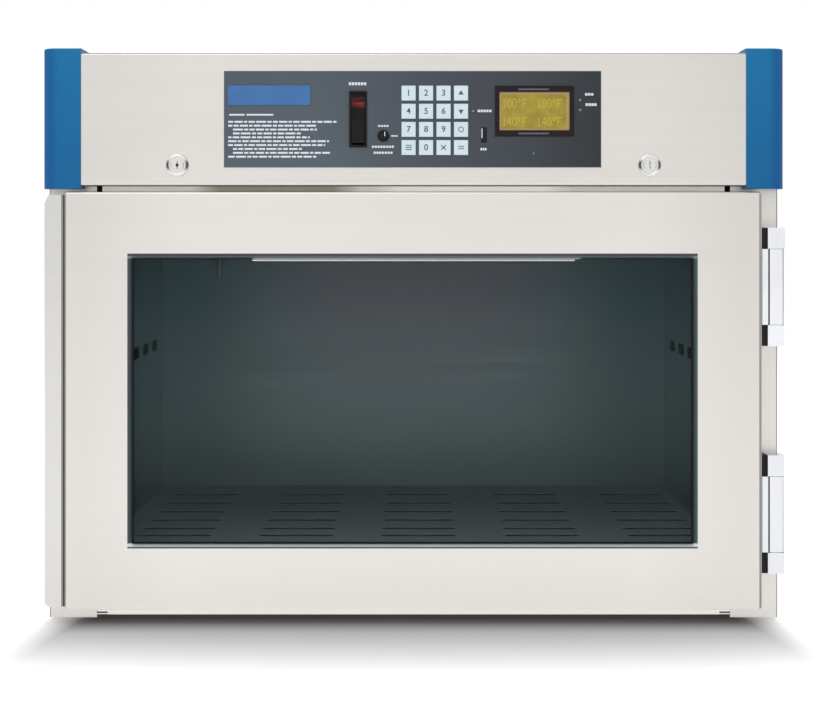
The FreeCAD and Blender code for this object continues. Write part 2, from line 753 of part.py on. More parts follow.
def blower_motor():
    flange = rod("z", 0, blower_y, deck_height, motor_radius + foot_radius / 2, sheet_metal * 2)
    can = rod("z", 0, blower_y, deck_height, motor_radius, motor_height)
    boss = rod("z", 0, blower_y, deck_height + motor_height, motor_radius / 2, shaft_radius)
    bore = rod("z", 0, blower_y, deck_height - OVERCUT, shaft_radius + running_clearance,
               motor_height / 2 + 2 * OVERCUT)
    piece("blower_motor", cut(fused(flange, can, boss), bore))


def heater_coil():
    """Sheathed hairpin element in the blower's outlet, hung from a plate on the deck."""
    y_places = [heater_front, heater_front + heater_bend * 2]
    parts = []
    for y in y_places:
        parts.append(rod("x", heater_start, y, heater_level, heater_radius, heater_length))
        parts.append(rod("z", heater_start, y, heater_level, heater_radius,
                         deck_height + keeper_height - heater_level))
        corner = doc.addObject("Part::Sphere", "corner")
        parts.append(bind(corner, Radius=heater_radius, Placement__Base__x=heater_start,
                          Placement__Base__y=y, Placement__Base__z=heater_level))
    bend = doc.addObject("Part::Torus", "bend")
    bend.Angle3 = 180
    bend.Placement = FreeCAD.Placement(FreeCAD.Vector(), FreeCAD.Rotation(FreeCAD.Vector(0, 0, 1), -90))
    parts.append(bind(bend, Radius1=heater_bend, Radius2=heater_radius,
                      Placement__Base__x=heater_start + heater_length,
                      Placement__Base__y=heater_front + heater_bend, Placement__Base__z=heater_level))
    margin = heater_radius * 2
    parts.append(block(heater_start - margin, heater_start + margin, y_places[0] - margin,
                       y_places[1] + margin, deck_height, deck_height + sheet_metal))
    piece("heater_coil", fused(*parts))


def temperature_probe():
    stem = rod("z", probe_x, probe_y, chamber_top - probe_length + keeper_height, probe_radius,
               probe_length)
    collar = rod("z", probe_x, probe_y, chamber_top + liner_metal, probe_radius * 3, keeper_height / 2)
    piece("temperature_probe", fused(stem, collar))


def power_supply():
    """Closed electronics box on the deck, with cooling slots in its lid."""
    x0 = -half_chamber
    y0 = blower_y - supply_width * 2
    body = block(x0, x0 + supply_length, y0, y0 + supply_width, deck_height, deck_height + supply_height)
    step = supply_length / 9
    slots = [block(x0 + (number + 1) * step, x0 + (number + 1) * step + sheet_metal * 2,
                   y0 + supply_width / 5, y0 + supply_width * 4 / 5,
                   deck_height + supply_height - sheet_metal * 3, deck_height + supply_height + OVERCUT)
             for number in range(8)]
    piece("power_supply", cut(body, *slots))


def power_inlet():
    """Three-pin mains inlet through the back panel."""
    half_w, half_h = inlet_width / 2, inlet_height / 2
    flange = block(inlet_x - half_w - inlet_flange, inlet_x + half_w + inlet_flange, casing_back,
                   casing_back + socket_wall, inlet_level - half_h - inlet_flange / 2,
                   inlet_level + half_h + inlet_flange / 2)
    body = block(inlet_x - half_w, inlet_x + half_w, casing_back - inlet_depth, casing_back,
                 inlet_level - half_h, inlet_level + half_h)
    socket = block(inlet_x - half_w + socket_wall, inlet_x + half_w - socket_wall,
                   casing_back - inlet_depth + socket_wall, casing_back + socket_wall + OVERCUT,
                   inlet_level - half_h + socket_wall, inlet_level + half_h - socket_wall)
    pins = [block(inlet_x + across * half_w / 2 - sheet_metal, inlet_x + across * half_w / 2 + sheet_metal,
                  casing_back - inlet_depth + socket_wall - OVERCUT, casing_back - socket_wall,
                  inlet_level + up * socket_wall - socket_wall, inlet_level + up * socket_wall)
            for across, up in ((-1, 0), (0, 1), (1, 0))]
    piece("power_inlet", fused(cut(fused(flange, body), socket), *pins))


# ---------------------------------------------------------------- header
def control_holes(y0, y1, clearance):
    """Tools for the openings that the control panel and the fascia share."""
    half_rocker = rocker_frame_width / 2 - rocker_frame_border / 2 + clearance
    rocker_half_height = rocker_frame_height / 2 - rocker_frame_border / 2 + clearance
    tools = [block(rocker_centre - half_rocker, rocker_centre + half_rocker, y0, y1,
                   panel_level - rocker_half_height, panel_level + rocker_half_height)]
    tools.append(rod("y", key_switch_centre, y0, key_switch_z, key_switch_barrel + clearance, y1 - y0))
    half_usb, usb_half_height = usb_width / 2 + clearance, usb_height / 2 + clearance
    tools.append(block(usb_centre - half_usb, usb_centre + half_usb, y0, y1,
                       usb_z - usb_half_height, usb_z + usb_half_height))
    for x, z in lamp_places:
        tools.append(rod("y", x, y0, z, lamp_radius + clearance, y1 - y0))
    return tools


def header_fascia():
    """Folded front cover of the control compartment, held by two cam locks."""
    front, back = door_front, post_front
    low, high = header_bottom, casing_top
    channel = [(front, low), (back - seal_gap, low), (back - seal_gap, low + sheet_metal),
               (front + sheet_metal, low + sheet_metal), (front + sheet_metal, high - sheet_metal),
               (back, high - sheet_metal), (back, high), (front, high)]
    body = profile("yz", [channel], -cap_inner, cap_inner * 2)
    dress(body, "Fillet", lambda a, b: close_to(a.y, front) and close_to(b.y, front)
          and close_to(a.z, b.z), Radius=bend_radius)
    y0, y1 = door_front - OVERCUT, door_front + sheet_metal + OVERCUT
    tools = control_holes(y0, y1, seat_gap)
    half_glass, half_glass_height = glass_width / 2, glass_height / 2
    tools.append(block(display_centre - half_glass - seat_gap, display_centre + half_glass + seat_gap, y0, y1,
                       display_z - half_glass_height - seat_gap, display_z + half_glass_height + seat_gap))
    reach = key_pitch_across / 2
    tools.append(block(column_places[0] - reach, column_places[3] + reach, y0, y1,
                       row_places[3] - key_pitch_up / 2, row_places[0] + key_pitch_up / 2))
    for side in (-1, 1):
        tools.append(rod("y", side * lock_side, y0, lock_level, lock_barrel_radius, y1 - y0))
    piece("header_fascia", cut(body, *tools))


def header_cap(label, side):
    """Moulded end of the header, wrapped round the casing's upper front corner."""
    front = door_front - cap_proud
    x0, x1 = (cap_inner, cap_outer) if side > 0 else (-cap_outer, -cap_inner)
    low, high = header_bottom - cap_below, casing_top + cap_above
    body = profile("xy", [rectangle(x0, x1, front, front + cap_depth)], low, high - low)
    outer_x = side * cap_outer
    dress(body, "Fillet", lambda a, b: close_to(a.x, outer_x) and close_to(b.x, outer_x)
          and close_to(a.y, front) and close_to(b.y, front), Radius=cap_corner_radius)
    inner_x = side * cap_inner
    rear = front + cap_depth
    dress(body, "Fillet", lambda a, b: close_to(a.z, high) and close_to(b.z, high)
          and not (close_to(a.y, rear) and close_to(b.y, rear))
          and not (close_to(a.x, inner_x) and close_to(b.x, inner_x)), Radius=cap_edge_radius)
    shell = cap_front_wall - cap_proud
    front_room = either_side(side, cap_inner - OVERCUT, cap_outer - cap_corner_radius - cap_edge_radius,
                             door_front + shell, front + cap_depth + OVERCUT, header_bottom, casing_top)
    back_room = either_side(side, cap_inner - OVERCUT, half_casing, door_front + cap_corner_radius,
                            front + cap_depth + OVERCUT, header_bottom, casing_top)
    casing_room = either_side(side, cap_inner - OVERCUT, half_casing, post_front,
                              front + cap_depth + OVERCUT, low - OVERCUT, casing_top)
    piece(label, cut(body, front_room, back_room, casing_room))


def header_lock(label, side):
    """Key-operated plug with a cam that hooks behind the keeper on the deck."""
    x = as_formula(side * lock_side)
    cam_front = post_front + sheet_metal + seat_gap * 2
    plug = rod("y", x, door_front - lock_proud, lock_level, lock_plug_radius,
               cam_front + lock_cam_thickness - door_front + lock_proud)
    cam = block(x - lock_cam_width / 2, x + lock_cam_width / 2, cam_front, cam_front + lock_cam_thickness,
                lock_level - lock_cam_reach, lock_level + lock_cam_width / 2)
    keyway = block(x - keyway_width / 2, x + keyway_width / 2, door_front - lock_proud - OVERCUT,
                   door_front - lock_proud + keyway_depth, lock_level - lock_plug_radius * 2 / 3,
                   lock_level + lock_plug_radius * 2 / 3)
    piece(label, cut(fused(plug, cam), keyway))


def hexagon(x, y, z, radius, thickness):
    nut = doc.addObject("Part::Prism", "hexagon")
    nut.Polygon = 6
    nut.Placement = FreeCAD.Placement(FreeCAD.Vector(), TURNS["y"])
    return bind(nut, Circumradius=radius, Height=thickness,
                Placement__Base__x=x, Placement__Base__y=y, Placement__Base__z=z)


def lock_housings():
    housings = []
    face = lock_proud - OVERCUT
    for side in (-1, 1):
        x = side * lock_side
        rim = rod("y", x, door_front - face, lock_level, lock_face_radius, face)
        barrel = rod("y", x, door_front - face, lock_level, lock_barrel_radius, face + lock_barrel_length)
        nut = hexagon(x, door_front + sheet_metal, lock_level, lock_face_radius + OVERCUT, seal_gap)
        bore = rod("y", x, door_front - lock_proud, lock_level, lock_plug_radius + running_clearance,
                   lock_barrel_length + 2 * lock_proud)
        housings.append(cut(fused(rim, barrel, nut), bore))
    piece("lock_housings", grouped(*housings))


# ---------------------------------------------------------------- control panel
def control_overlay():
    """Printed panel bonded to the fascia, with an opening for each control."""
    half = panel_width / 2
    sheet_of_plastic = block(-half - OVERCUT, half - OVERCUT, panel_front, door_front,
                             panel_level - panel_height / 2, panel_level + panel_height / 2)
    y0, y1 = panel_front - OVERCUT, door_front + OVERCUT
    tools = control_holes(y0, y1, seat_gap)
    tools.append(block(display_centre - display_width / 2, display_centre + display_width / 2, y0, y1,
                       display_z - display_height / 2, display_z + display_height / 2))
    half_key, half_key_height = key_width / 2 + key_clearance, key_height / 2 + key_clearance
    for x in column_places:
        for z in row_places:
            tools.append(block(x - half_key, x + half_key, y0, y1, z - half_key_height, z + half_key_height))
    piece("control_overlay", cut(sheet_of_plastic, *tools))


KEY_NAMES = [
    ["key_1", "key_2", "key_3", "key_up"],
    ["key_4", "key_5", "key_6", "key_down"],
    ["key_7", "key_8", "key_9", "key_set"],
    ["key_mode", "key_0", "key_clear", "key_enter"],
]


def keypad_key(label, x, z):
    """A key cap in its opening, with a flange that keeps it behind the panel and a switch stem."""
    flange_front = door_front + seat_gap
    grip = OVERCUT / 2
    cap = profile("xz", [rectangle(x - key_width / 2, x + key_width / 2,
                                   z - key_height / 2, z + key_height / 2)],
                  panel_front - key_proud, flange_front - panel_front + key_proud)
    dress(cap, "Fillet", lambda a, b: close_to(a.y, panel_front - key_proud)
          and close_to(b.y, panel_front - key_proud), Radius=key_proud / 2)
    flange = block(x - key_width / 2 - grip * 2, x + key_width / 2 + grip * 2,
                   flange_front, flange_front + key_flange,
                   z - key_height / 2 - grip * 2, z + key_height / 2 + grip * 2)
    stem = rod("y", x, flange_front + key_flange, z, key_stem_radius, key_stem)
    piece(label, fused(cap, flange, stem))


def control_board():
    """Circuit board behind the fascia with a switch for each key, on spacers."""
    left = column_places[0] - key_pitch_across / 2 - OVERCUT
    right = lamp_right + spacer_radius * 3
    low, high = panel_level - panel_height / 2, panel_level + panel_height / 2
    board = block(left, right, board_front, board_front + board_thickness, low, high)
    switch_front = door_front + seat_gap + key_flange + key_stem + key_travel + seat_gap
    switches = [block(x - switch_size / 2, x + switch_size / 2, switch_front, board_front,
                      z - switch_size / 2, z + switch_size / 2)
                for x in column_places for z in row_places]
    spacers = [rod("y", x, door_front + sheet_metal, z, spacer_radius, board_front - door_front - sheet_metal)
               for x in (left + spacer_radius, right - spacer_radius)
               for z in (low + spacer_radius, high - spacer_radius)]
    chips = [block(left + share * (right - left), left + share * (right - left) + switch_size * 3,
                   board_front + board_thickness, board_front + board_thickness + seal_gap,
                   panel_level - switch_size, panel_level + switch_size) for share in (0.1, 0.4, 0.7)]
    piece("control_board", fused(board, *switches, *spacers, *chips))


def display_bezel():
    outer = (display_centre - display_width / 2, display_centre + display_width / 2,
             display_z - display_height / 2, display_z + display_height / 2)
    inner = (display_centre - glass_width / 2, display_centre + glass_width / 2,
             display_z - glass_height / 2, display_z + glass_height / 2)
    thickness = panel_thickness + display_bezel_proud
    piece("display_bezel", ring(panel_front - display_bezel_proud, thickness, outer, inner))


def display_module():
    """Liquid crystal panel that looks out through the fascia, on four pegs to the board."""
    glass = block(display_centre - glass_width / 2, display_centre + glass_width / 2,
                  door_front - seat_gap, door_front + sheet_metal,
                  display_z - glass_height / 2, display_z + glass_height / 2)
    case_back = door_front + sheet_metal + display_depth
    half_width, half_height = display_width / 2, display_height / 2
    case = block(display_centre - half_width, display_centre + half_width, door_front + sheet_metal,
                 case_back, display_z - half_height, display_z + half_height)
    pegs = [rod("y", display_centre + side * (half_width - display_border), case_back,
                display_z + up * (half_height - display_border), display_border, board_front - case_back)
            for side in (-1, 1) for up in (-1, 1)]
    piece("display_module", fused(glass, case, *pegs))


def usb_port():
    half, half_height = usb_width / 2, usb_height / 2
    front = panel_front - seat_gap
    shell = block(usb_centre - half, usb_centre + half, front, board_front,
                  usb_z - half_height, usb_z + half_height)
    slot = block(usb_centre - half + usb_wall, usb_centre + half - usb_wall, front - OVERCUT,
                 front + usb_depth - OVERCUT, usb_z - half_height + usb_wall, usb_z + half_height - usb_wall)
    tongue = block(usb_centre - half + usb_wall, usb_centre - half + usb_wall + usb_tongue,
                   front + OVERCUT, front + usb_depth,
                   usb_z - half_height * 2 / 3, usb_z + half_height * 2 / 3)
    piece("usb_port", fused(cut(shell, slot), tongue))


def status_lamps():
    lamps = []
    for x, z in lamp_places:
        dome = doc.addObject("Part::Sphere", "dome")
        bind(dome, Radius=lamp_radius, Placement__Base__x=x, Placement__Base__y=as_formula(panel_front),
             Placement__Base__z=z)
        lamps.append(fused(dome, rod("y", x, panel_front, z, lamp_radius, board_front - panel_front)))
    piece("status_lamps", grouped(*lamps))


# ---------------------------------------------------------------- power rocker and key switch
rocker_cavity = rocker_frame_width / 2 - rocker_frame_border
rocker_body_half = rocker_frame_width / 2 - rocker_frame_border / 2
rocker_pivot_y = panel_front + rocker_pivot_back


def rocker_housing():
    half_height = rocker_frame_height / 2
    front = panel_front - rocker_frame_proud
    frame = block(rocker_centre - rocker_frame_width / 2, rocker_centre + rocker_frame_width / 2,
                  front, panel_front, panel_level - half_height, panel_level + half_height)
    body_height = half_height - rocker_frame_border / 2
    body = block(rocker_centre - rocker_body_half, rocker_centre + rocker_body_half, front,
                 panel_front + rocker_depth, panel_level - body_height, panel_level + body_height)
    room_height = half_height - rocker_frame_border
    room = block(rocker_centre - rocker_cavity, rocker_centre + rocker_cavity, front - OVERCUT,
                 panel_front + rocker_depth - rocker_frame_border,
                 panel_level - room_height, panel_level + room_height)
    pivot_hole = rod("x", rocker_centre - rocker_body_half - OVERCUT, rocker_pivot_y, panel_level,
                     rocker_pivot_radius + running_clearance, 2 * rocker_body_half + 2 * OVERCUT)
    blades = [block(rocker_centre - usb_wall, rocker_centre + usb_wall,
                    panel_front + rocker_depth, panel_front + rocker_depth + switch_size * 3 / 2,
                    panel_level + place * switch_size * 2 - switch_size / 2,
                    panel_level + place * switch_size * 2 + switch_size / 2) for place in (-1, 0, 1)]
    piece("rocker_housing", fused(cut(fused(frame, body), room, pivot_hole), *blades))


def power_rocker():
    """Rocker with a shallow V face, resting with its upper end pressed in."""
    valley = panel_front - rocker_valley
    tip = valley - rocker_rise
    belly = rocker_pivot_y + rocker_pivot_radius * 2
    up = rocker_half
    section = [(valley, panel_level), (tip, panel_level + up), (tip + rocker_body, panel_level + up),
               (belly, panel_level + rocker_body), (belly, panel_level - rocker_body),
               (tip + rocker_body, panel_level - up), (tip, panel_level - up)]
    half = rocker_cavity - rocker_clearance
    paddle = profile("yz", [section], rocker_centre - half, half * 2)
    stub = rocker_body_half - running_clearance
    pivot = rod("x", rocker_centre - stub, rocker_pivot_y, panel_level, rocker_pivot_radius, stub * 2)
    piece("power_rocker", turned(fused(paddle, pivot), FreeCAD.Vector(1, 0, 0), -rocker_tilt.value,
                                 as_formula(0), rocker_pivot_y, as_formula(panel_level)))


def key_switch():
    """Lock-out switch: a round body with a nut behind the fascia, and a plug that the key turns."""
    proud = rocker_frame_proud
    front = panel_front - proud
    face = rod("y", key_switch_centre, front, key_switch_z, key_switch_radius, proud)
    barrel = rod("y", key_switch_centre, front, key_switch_z, key_switch_barrel, key_switch_depth)
    nut = hexagon(key_switch_centre, door_front + sheet_metal, key_switch_z, key_switch_nut, seal_gap)
    bore = rod("y", key_switch_centre, front - OVERCUT, key_switch_z,
               key_switch_plug + running_clearance, key_switch_depth + 2 * OVERCUT)
    piece("key_switch_body", cut(fused(face, barrel, nut), bore))
    plug = rod("y", key_switch_centre, front - seat_gap, key_switch_z, key_switch_plug,
               key_switch_depth + seat_gap * 2)
    tail_start = front + key_switch_depth + seat_gap
    tail = block(key_switch_centre - key_switch_plug, key_switch_centre + key_switch_plug, tail_start,
                 tail_start + lock_cam_thickness, key_switch_z - lock_cam_thickness,
                 key_switch_z + key_switch_radius + lock_cam_thickness)
    keyway = block(key_switch_centre - keyway_width / 2, key_switch_centre + keyway_width / 2,
                   front - OVERCUT, front + keyway_depth, key_switch_z - key_switch_plug * 2 / 3,
                   key_switch_z + key_switch_plug * 2 / 3)
    piece("key_switch_plug", cut(fused(plug, tail), keyway))


# ---------------------------------------------------------------- door
def door_outer_skin():
    body = profile("xz", [rectangle(*door_rect), rectangle(*window_rect)], door_front, sheet_metal)
    pad(body, "xz", [rectangle(*door_rect), rectangle(*inset(door_rect, sheet_metal))],
        door_front, door_thickness - sheet_metal)
    doc.recompute()

    def on_rim(point):
        return (close_to(point.y, door_front)
                and (close_to(point.x, door_left) or close_to(point.x, door_right))
                and (close_to(point.z, door_bottom) or close_to(point.z, door_top)))
    dress(body, "Fillet", lambda a, b: on_rim(a) and on_rim(b), Radius=bend_radius)
    piece("door_outer_skin", body)


def door_inner_skin():
    body = profile("xz", [rectangle(*door_rect), rectangle(*window_rect)],
                   door_back - sheet_metal, sheet_metal)
    lip_front = door_front + bezel_depth + glass_thickness * 2 + pane_gap
    pad(body, "xz", [rectangle(*inset(window_rect, -sheet_metal)), rectangle(*window_rect)],
        lip_front, door_back - lip_front)
    piece("door_inner_skin", body)


def glazing_bezel():
    """Frame of the window, sloping inwards to the glass."""
    front = door_front + OVERCUT / 2
    body = ring(front, bezel_depth - OVERCUT / 2, window_rect, inset(window_rect, bezel_width))
    x0, x1, z0, z1 = inset(window_rect, bezel_width)

    def on_lip(point):
        return (close_to(point.y, front) and (close_to(point.x, x0) or close_to(point.x, x1))
                and (close_to(point.z, z0) or close_to(point.z, z1)))
    dress(body, "Chamfer", lambda a, b: on_lip(a) and on_lip(b), Size=bezel_width - OVERCUT / 2)
    piece("glazing_bezel", body)


def window_glass():
    outer_front = door_front + bezel_depth
    spacer_front = outer_front + glass_thickness
    inner_front = spacer_front + pane_gap
    x0, x1, z0, z1 = pane_rect
    piece("outer_glass", block(x0, x1, outer_front, spacer_front, z0, z1))
    piece("glass_spacer", ring(spacer_front, pane_gap, pane_rect, inset(pane_rect, spacer_width)))
    piece("inner_glass", block(x0, x1, inner_front, inner_front + glass_thickness, z0, z1))


def door_gasket():
    outer = inset(door_rect, seal_inset)
    piece("door_gasket", ring(door_back, seal_gap - seat_gap, outer, inset(outer, seal_width)))


def door_pull():
    """Folded strip down the door's free edge: fingers reach behind its front plate."""
    front = door_front
    web_back = front + pull_web_depth + pull_metal
    riser = door_left - pull_groove
    tip = riser - pull_plate
    section = [(door_left, front + pull_web_depth), (door_left, web_back + pull_flange),
               (door_left - pull_metal, web_back + pull_flange), (door_left - pull_metal, web_back),
               (riser - pull_metal, web_back), (riser - pull_metal, front + pull_metal),
               (tip + pull_metal, front + pull_metal), (tip + pull_metal, front + pull_return),
               (tip, front + pull_return), (tip, front), (riser, front), (riser, front + pull_web_depth)]
    low, high = door_bottom + pull_end_gap, door_top - pull_end_gap
    strip = profile("xy", [section], low, high - low)
    upper = [(tip - OVERCUT, high - pull_corner_height), (tip, high - pull_corner_height),
             (tip + pull_corner_width, high), (tip + pull_corner_width, high + OVERCUT),
             (tip - OVERCUT, high + OVERCUT)]
    lower = [(tip - OVERCUT, low + pull_corner_width), (tip, low + pull_corner_width),
             (tip + pull_corner_width, low), (tip + pull_corner_width, low - OVERCUT),
             (tip - OVERCUT, low - OVERCUT)]
    tools = [profile("xz", [corner], front - OVERCUT, pull_return + 2 * OVERCUT) for corner in (upper, lower)]
    piece("door_pull", cut(strip, *tools))


# ---------------------------------------------------------------- hinges
def knuckle_levels(level):
    """Start of the lower end knuckle, of the middle barrel and of the upper end knuckle."""
    low = level - hinge_length / 2
    return low, low + hinge_end_knuckle, low + hinge_length - hinge_end_knuckle


def hinges():
    """Two lift-free hinges: end knuckles on the post, a long middle barrel on the door."""
    leaves, pads, pins, door_leaves = [], [], [], []
    knuckle_left = hinge_x - hinge_barrel
    for index, level in enumerate(hinge_levels):
        low, middle, upper = knuckle_levels(level)
        plate = block(knuckle_left, half_casing, post_front - hinge_leaf, post_front,
                      low, low + hinge_length)
        parts = [plate]
        for start in (low, upper):
            parts.append(rod("z", hinge_x, hinge_y, start, hinge_barrel, hinge_end_knuckle))
            parts.append(block(knuckle_left, hinge_x + hinge_barrel, hinge_y, post_front,
                               start, start + hinge_end_knuckle))
            pads.append(block(door_right + pull_metal, knuckle_left, door_front + hinge_pad_front,
                              post_front, start, start + hinge_end_knuckle))
        bore = rod("z", hinge_x, hinge_y, low - OVERCUT, hinge_pin_radius, hinge_length + 2 * OVERCUT)
        holes = [rod("y", x, post_front - hinge_leaf - OVERCUT, z, screw_hole, hinge_leaf + 2 * OVERCUT)
                 for x, z in leaf_screw_places[2 * index:2 * index + 2]]
        leaves.append(cut(fused(*parts), bore, *holes))
        pins.append(rod("z", hinge_x, hinge_y, low, hinge_pin_radius, hinge_length))
        start, length = middle + hinge_end_play, upper - middle - 2 * hinge_end_play
        barrel = rod("z", hinge_x, hinge_y, start, hinge_barrel - OVERCUT, length)
        web = block(door_right, hinge_x, door_front + hinge_door_leaf, door_front + hinge_door_leaf * 3,
                    start, start + length)
        flange = block(door_right, door_right + hinge_door_leaf, door_front + hinge_door_leaf,
                       door_back - hinge_door_leaf, start, start + length)
        door_bore = rod("z", hinge_x, hinge_y, start - OVERCUT, hinge_pin_radius + running_clearance,
                        length + 2 * OVERCUT)
        door_leaves.append(cut(fused(barrel, web, flange), door_bore))
    piece("hinge_frame_leaves", grouped(*leaves))
    piece("hinge_pads", grouped(*pads))
    piece("hinge_pins", grouped(*pins))
    piece("hinge_door_leaves", grouped(*door_leaves))


def cabinet_screws():
    """Screws of the back panel and of the hinge leaves."""
    screws = [screw("y", x, casing_back, z, sheet_metal * 5, 1) for x, z in back_screw_places]
    screws += [screw("y", x, post_front - hinge_leaf, z, sheet_metal * 5 + hinge_leaf, -1)
               for x, z in leaf_screw_places]
    piece("cabinet_screws", grouped(*screws))


# ---------------------------------------------------------------- the whole cabinet
def keypad():
    for row, names in enumerate(KEY_NAMES):
        for column, label in enumerate(names):
            keypad_key(label, column_places[column], row_places[row])


outer_wrap()
back_panel()
bottom_pan()
rubber_feet()
deck_panel()
chamber_liner()
insulation()
ceiling_air_duct()
blower_scroll()
blower_wheel()
blower_motor()
heater_coil()
temperature_probe()
power_supply()
power_inlet()
header_fascia()
header_cap("header_cap_left", -1)
header_cap("header_cap_right", 1)
header_lock("lock_plug_left", -1)
header_lock("lock_plug_right", 1)
lock_housings()
control_overlay()
keypad()
control_board()
display_bezel()
display_module()
usb_port()
status_lamps()
rocker_housing()
power_rocker()
key_switch()
door_outer_skin()
door_inner_skin()
glazing_bezel()
window_glass()
door_gasket()
door_pull()
hinges()
cabinet_screws()


def check_and_write():
    doc.recompute()
    for thing in doc.Objects:
        if "Invalid" in thing.State or "Error" in thing.State:
            raise RuntimeError("%s (%s) failed: %s" % (thing.Name, thing.Label, thing.State))
    for label, thing in pieces.items():
        if thing.Shape.isNull() or not thing.Shape.isValid():
            raise RuntimeError("%s has no valid shape" % label)
    os.makedirs("parts", exist_ok=True)
    for label, thing in pieces.items():
        thing.Shape.exportStep("parts/%s.step" % label)
        print("%-20s %3d solids %12.1f mm3" % (label, len(thing.Shape.Solids), thing.Shape.Volume))
    print(len(pieces), "pieces")


check_and_write()
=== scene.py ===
import math

import bmesh
import bpy
from mathutils import Matrix, Vector


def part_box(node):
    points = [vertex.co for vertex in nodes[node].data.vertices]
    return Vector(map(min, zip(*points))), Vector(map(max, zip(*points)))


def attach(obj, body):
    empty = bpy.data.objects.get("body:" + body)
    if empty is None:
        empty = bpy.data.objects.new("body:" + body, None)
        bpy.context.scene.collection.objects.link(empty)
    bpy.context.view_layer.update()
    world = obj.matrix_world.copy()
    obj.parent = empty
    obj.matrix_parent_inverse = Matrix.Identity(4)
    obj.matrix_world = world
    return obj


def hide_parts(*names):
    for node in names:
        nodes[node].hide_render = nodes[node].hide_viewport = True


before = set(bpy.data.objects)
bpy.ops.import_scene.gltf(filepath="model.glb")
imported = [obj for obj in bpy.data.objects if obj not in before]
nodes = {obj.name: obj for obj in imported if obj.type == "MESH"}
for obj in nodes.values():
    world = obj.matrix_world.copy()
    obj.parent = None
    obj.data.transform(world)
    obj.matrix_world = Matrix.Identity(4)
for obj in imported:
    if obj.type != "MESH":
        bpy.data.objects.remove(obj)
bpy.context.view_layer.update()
mm = 0.001


# -------------------- eye
# The cabinet is looked at square on, from a little over two metres in front of its door and
# with the eye level with the upper half of the window, so that neither side of it shows.
eye_distance = 2.240
eye_height = 0.4062
picture_width = 839
focal_length_px = 2149.7
shift_right_px, shift_up_px = 6.0, -115.5
eye_lens = bpy.data.cameras.new("eye")
eye_lens.sensor_width = 36
eye_lens.lens = eye_lens.sensor_width * focal_length_px / picture_width
eye_lens.shift_x = shift_right_px / picture_width
eye_lens.shift_y = shift_up_px / picture_width
eye_lens.clip_start = 0.1
eye_lens.clip_end = 60
eye = bpy.data.objects.new("eye", eye_lens)
eye.location = (0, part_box("door_outer_skin")[0].y - eye_distance, eye_height)
eye.rotation_euler = (math.radians(90), 0, 0)
bpy.context.scene.collection.objects.link(eye)
bpy.context.scene.camera = eye
bpy.context.scene.view_settings.view_transform = "Standard"


# -------------------- room
# A white room with a broad soft lamp in front and another above and behind. Polished metal
# also sees that the two far corners of the room are dimmer than its walls.
class Value:
    """One output of a shader tree; arithmetic on it adds Math nodes."""

    def __init__(self, shades, socket):
        self.shades = shades
        self.socket = socket

    def math(self, operation, *others):
        return self.shades.node("Math", {"operation": operation}, dict(enumerate((self,) + others)))

    def __add__(self, other):
        return self.math("ADD", other)

    def __sub__(self, other):
        return self.math("SUBTRACT", other)

    def __rsub__(self, other):
        return self.shades.node("Math", {"operation": "SUBTRACT"}, {0: other, 1: self})

    def __mul__(self, other):
        return self.math("MULTIPLY", other)

    def __abs__(self):
        return self.math("ABSOLUTE")

    __radd__ = __add__
    __rmul__ = __mul__

    def over(self, level):
        return self.math("GREATER_THAN", level)

    def larger(self, other):
        return self.math("MAXIMUM", other)

    def rising(self, low, high):
        """Nought up to low, one from high on and straight between; high may be the smaller."""
        return self.shades.node("MapRange", {"clamp": True}, {0: self, 1: low, 2: high, 3: 0.0, 4: 1.0})

    def between(self, low, high, soft):
        return self.rising(low - soft, low) * (1.0 - self.rising(high, high + soft))


class Shades:
    """A shader tree, and the one method that adds a node to it."""

    def __init__(self, tree):
        self.tree = tree

    def node(self, kind, settings=None, inputs=None, output=0):
        made = self.tree.nodes.new("ShaderNode" + kind)
        for name, value in (settings or {}).items():
            setattr(made, name, value)
        for name, value in (inputs or {}).items():
            self.feed(made.inputs[name], value)
        return Value(self, made.outputs[output]) if made.outputs else None

    def feed(self, socket, value):
        if isinstance(value, Value):
            self.tree.links.new(value.socket, socket)
        else:
            socket.default_value = value

    def axes(self, source="Object"):
        """The three coordinates of a place on the piece, or of a direction."""
        split = self.node("SeparateXYZ", inputs={0: self.node("TexCoord", output=source)})
        return [Value(self, output) for output in split.socket.node.outputs]

    def mix(self, share, first, second):
        return self.node("Mix", {"data_type": "RGBA"}, {0: share, 6: first, 7: second}, output=2)

    def grey(self, level):
        return self.node("CombineColor", inputs={0: level, 1: level, 2: level})


room_light = 0.74
corner_light = 0.36
white = (1, 1, 1, 1)
world = bpy.data.worlds.new("room")
world.use_nodes = True
world.node_tree.nodes.clear()
room = Shades(world.node_tree)
toward_x, toward_y, toward_z = room.axes("Generated")
far_corner = (toward_y * abs(toward_x)).rising(0.14, 0.40) * (1.0 - abs(toward_z).rising(0.35, 0.8))
mirrored = room.node("Background", inputs={
    "Color": room.mix(far_corner, white, (corner_light,) * 3 + (1,))})
backdrop = room.node("Background", inputs={"Color": white})
lighting = room.node("Background", inputs={"Color": white, "Strength": room_light})
is_camera = room.node("LightPath", output="Is Camera Ray")
is_gloss = room.node("LightPath", output="Is Glossy Ray")
is_through = room.node("LightPath", output="Is Transmission Ray")
unseen = room.node("MixShader", inputs={0: is_gloss, 1: lighting, 2: mirrored})
room.node("OutputWorld", inputs={"Surface": room.node(
    "MixShader", inputs={0: is_camera.larger(is_through), 1: unseen, 2: backdrop})})
bpy.context.scene.world = world

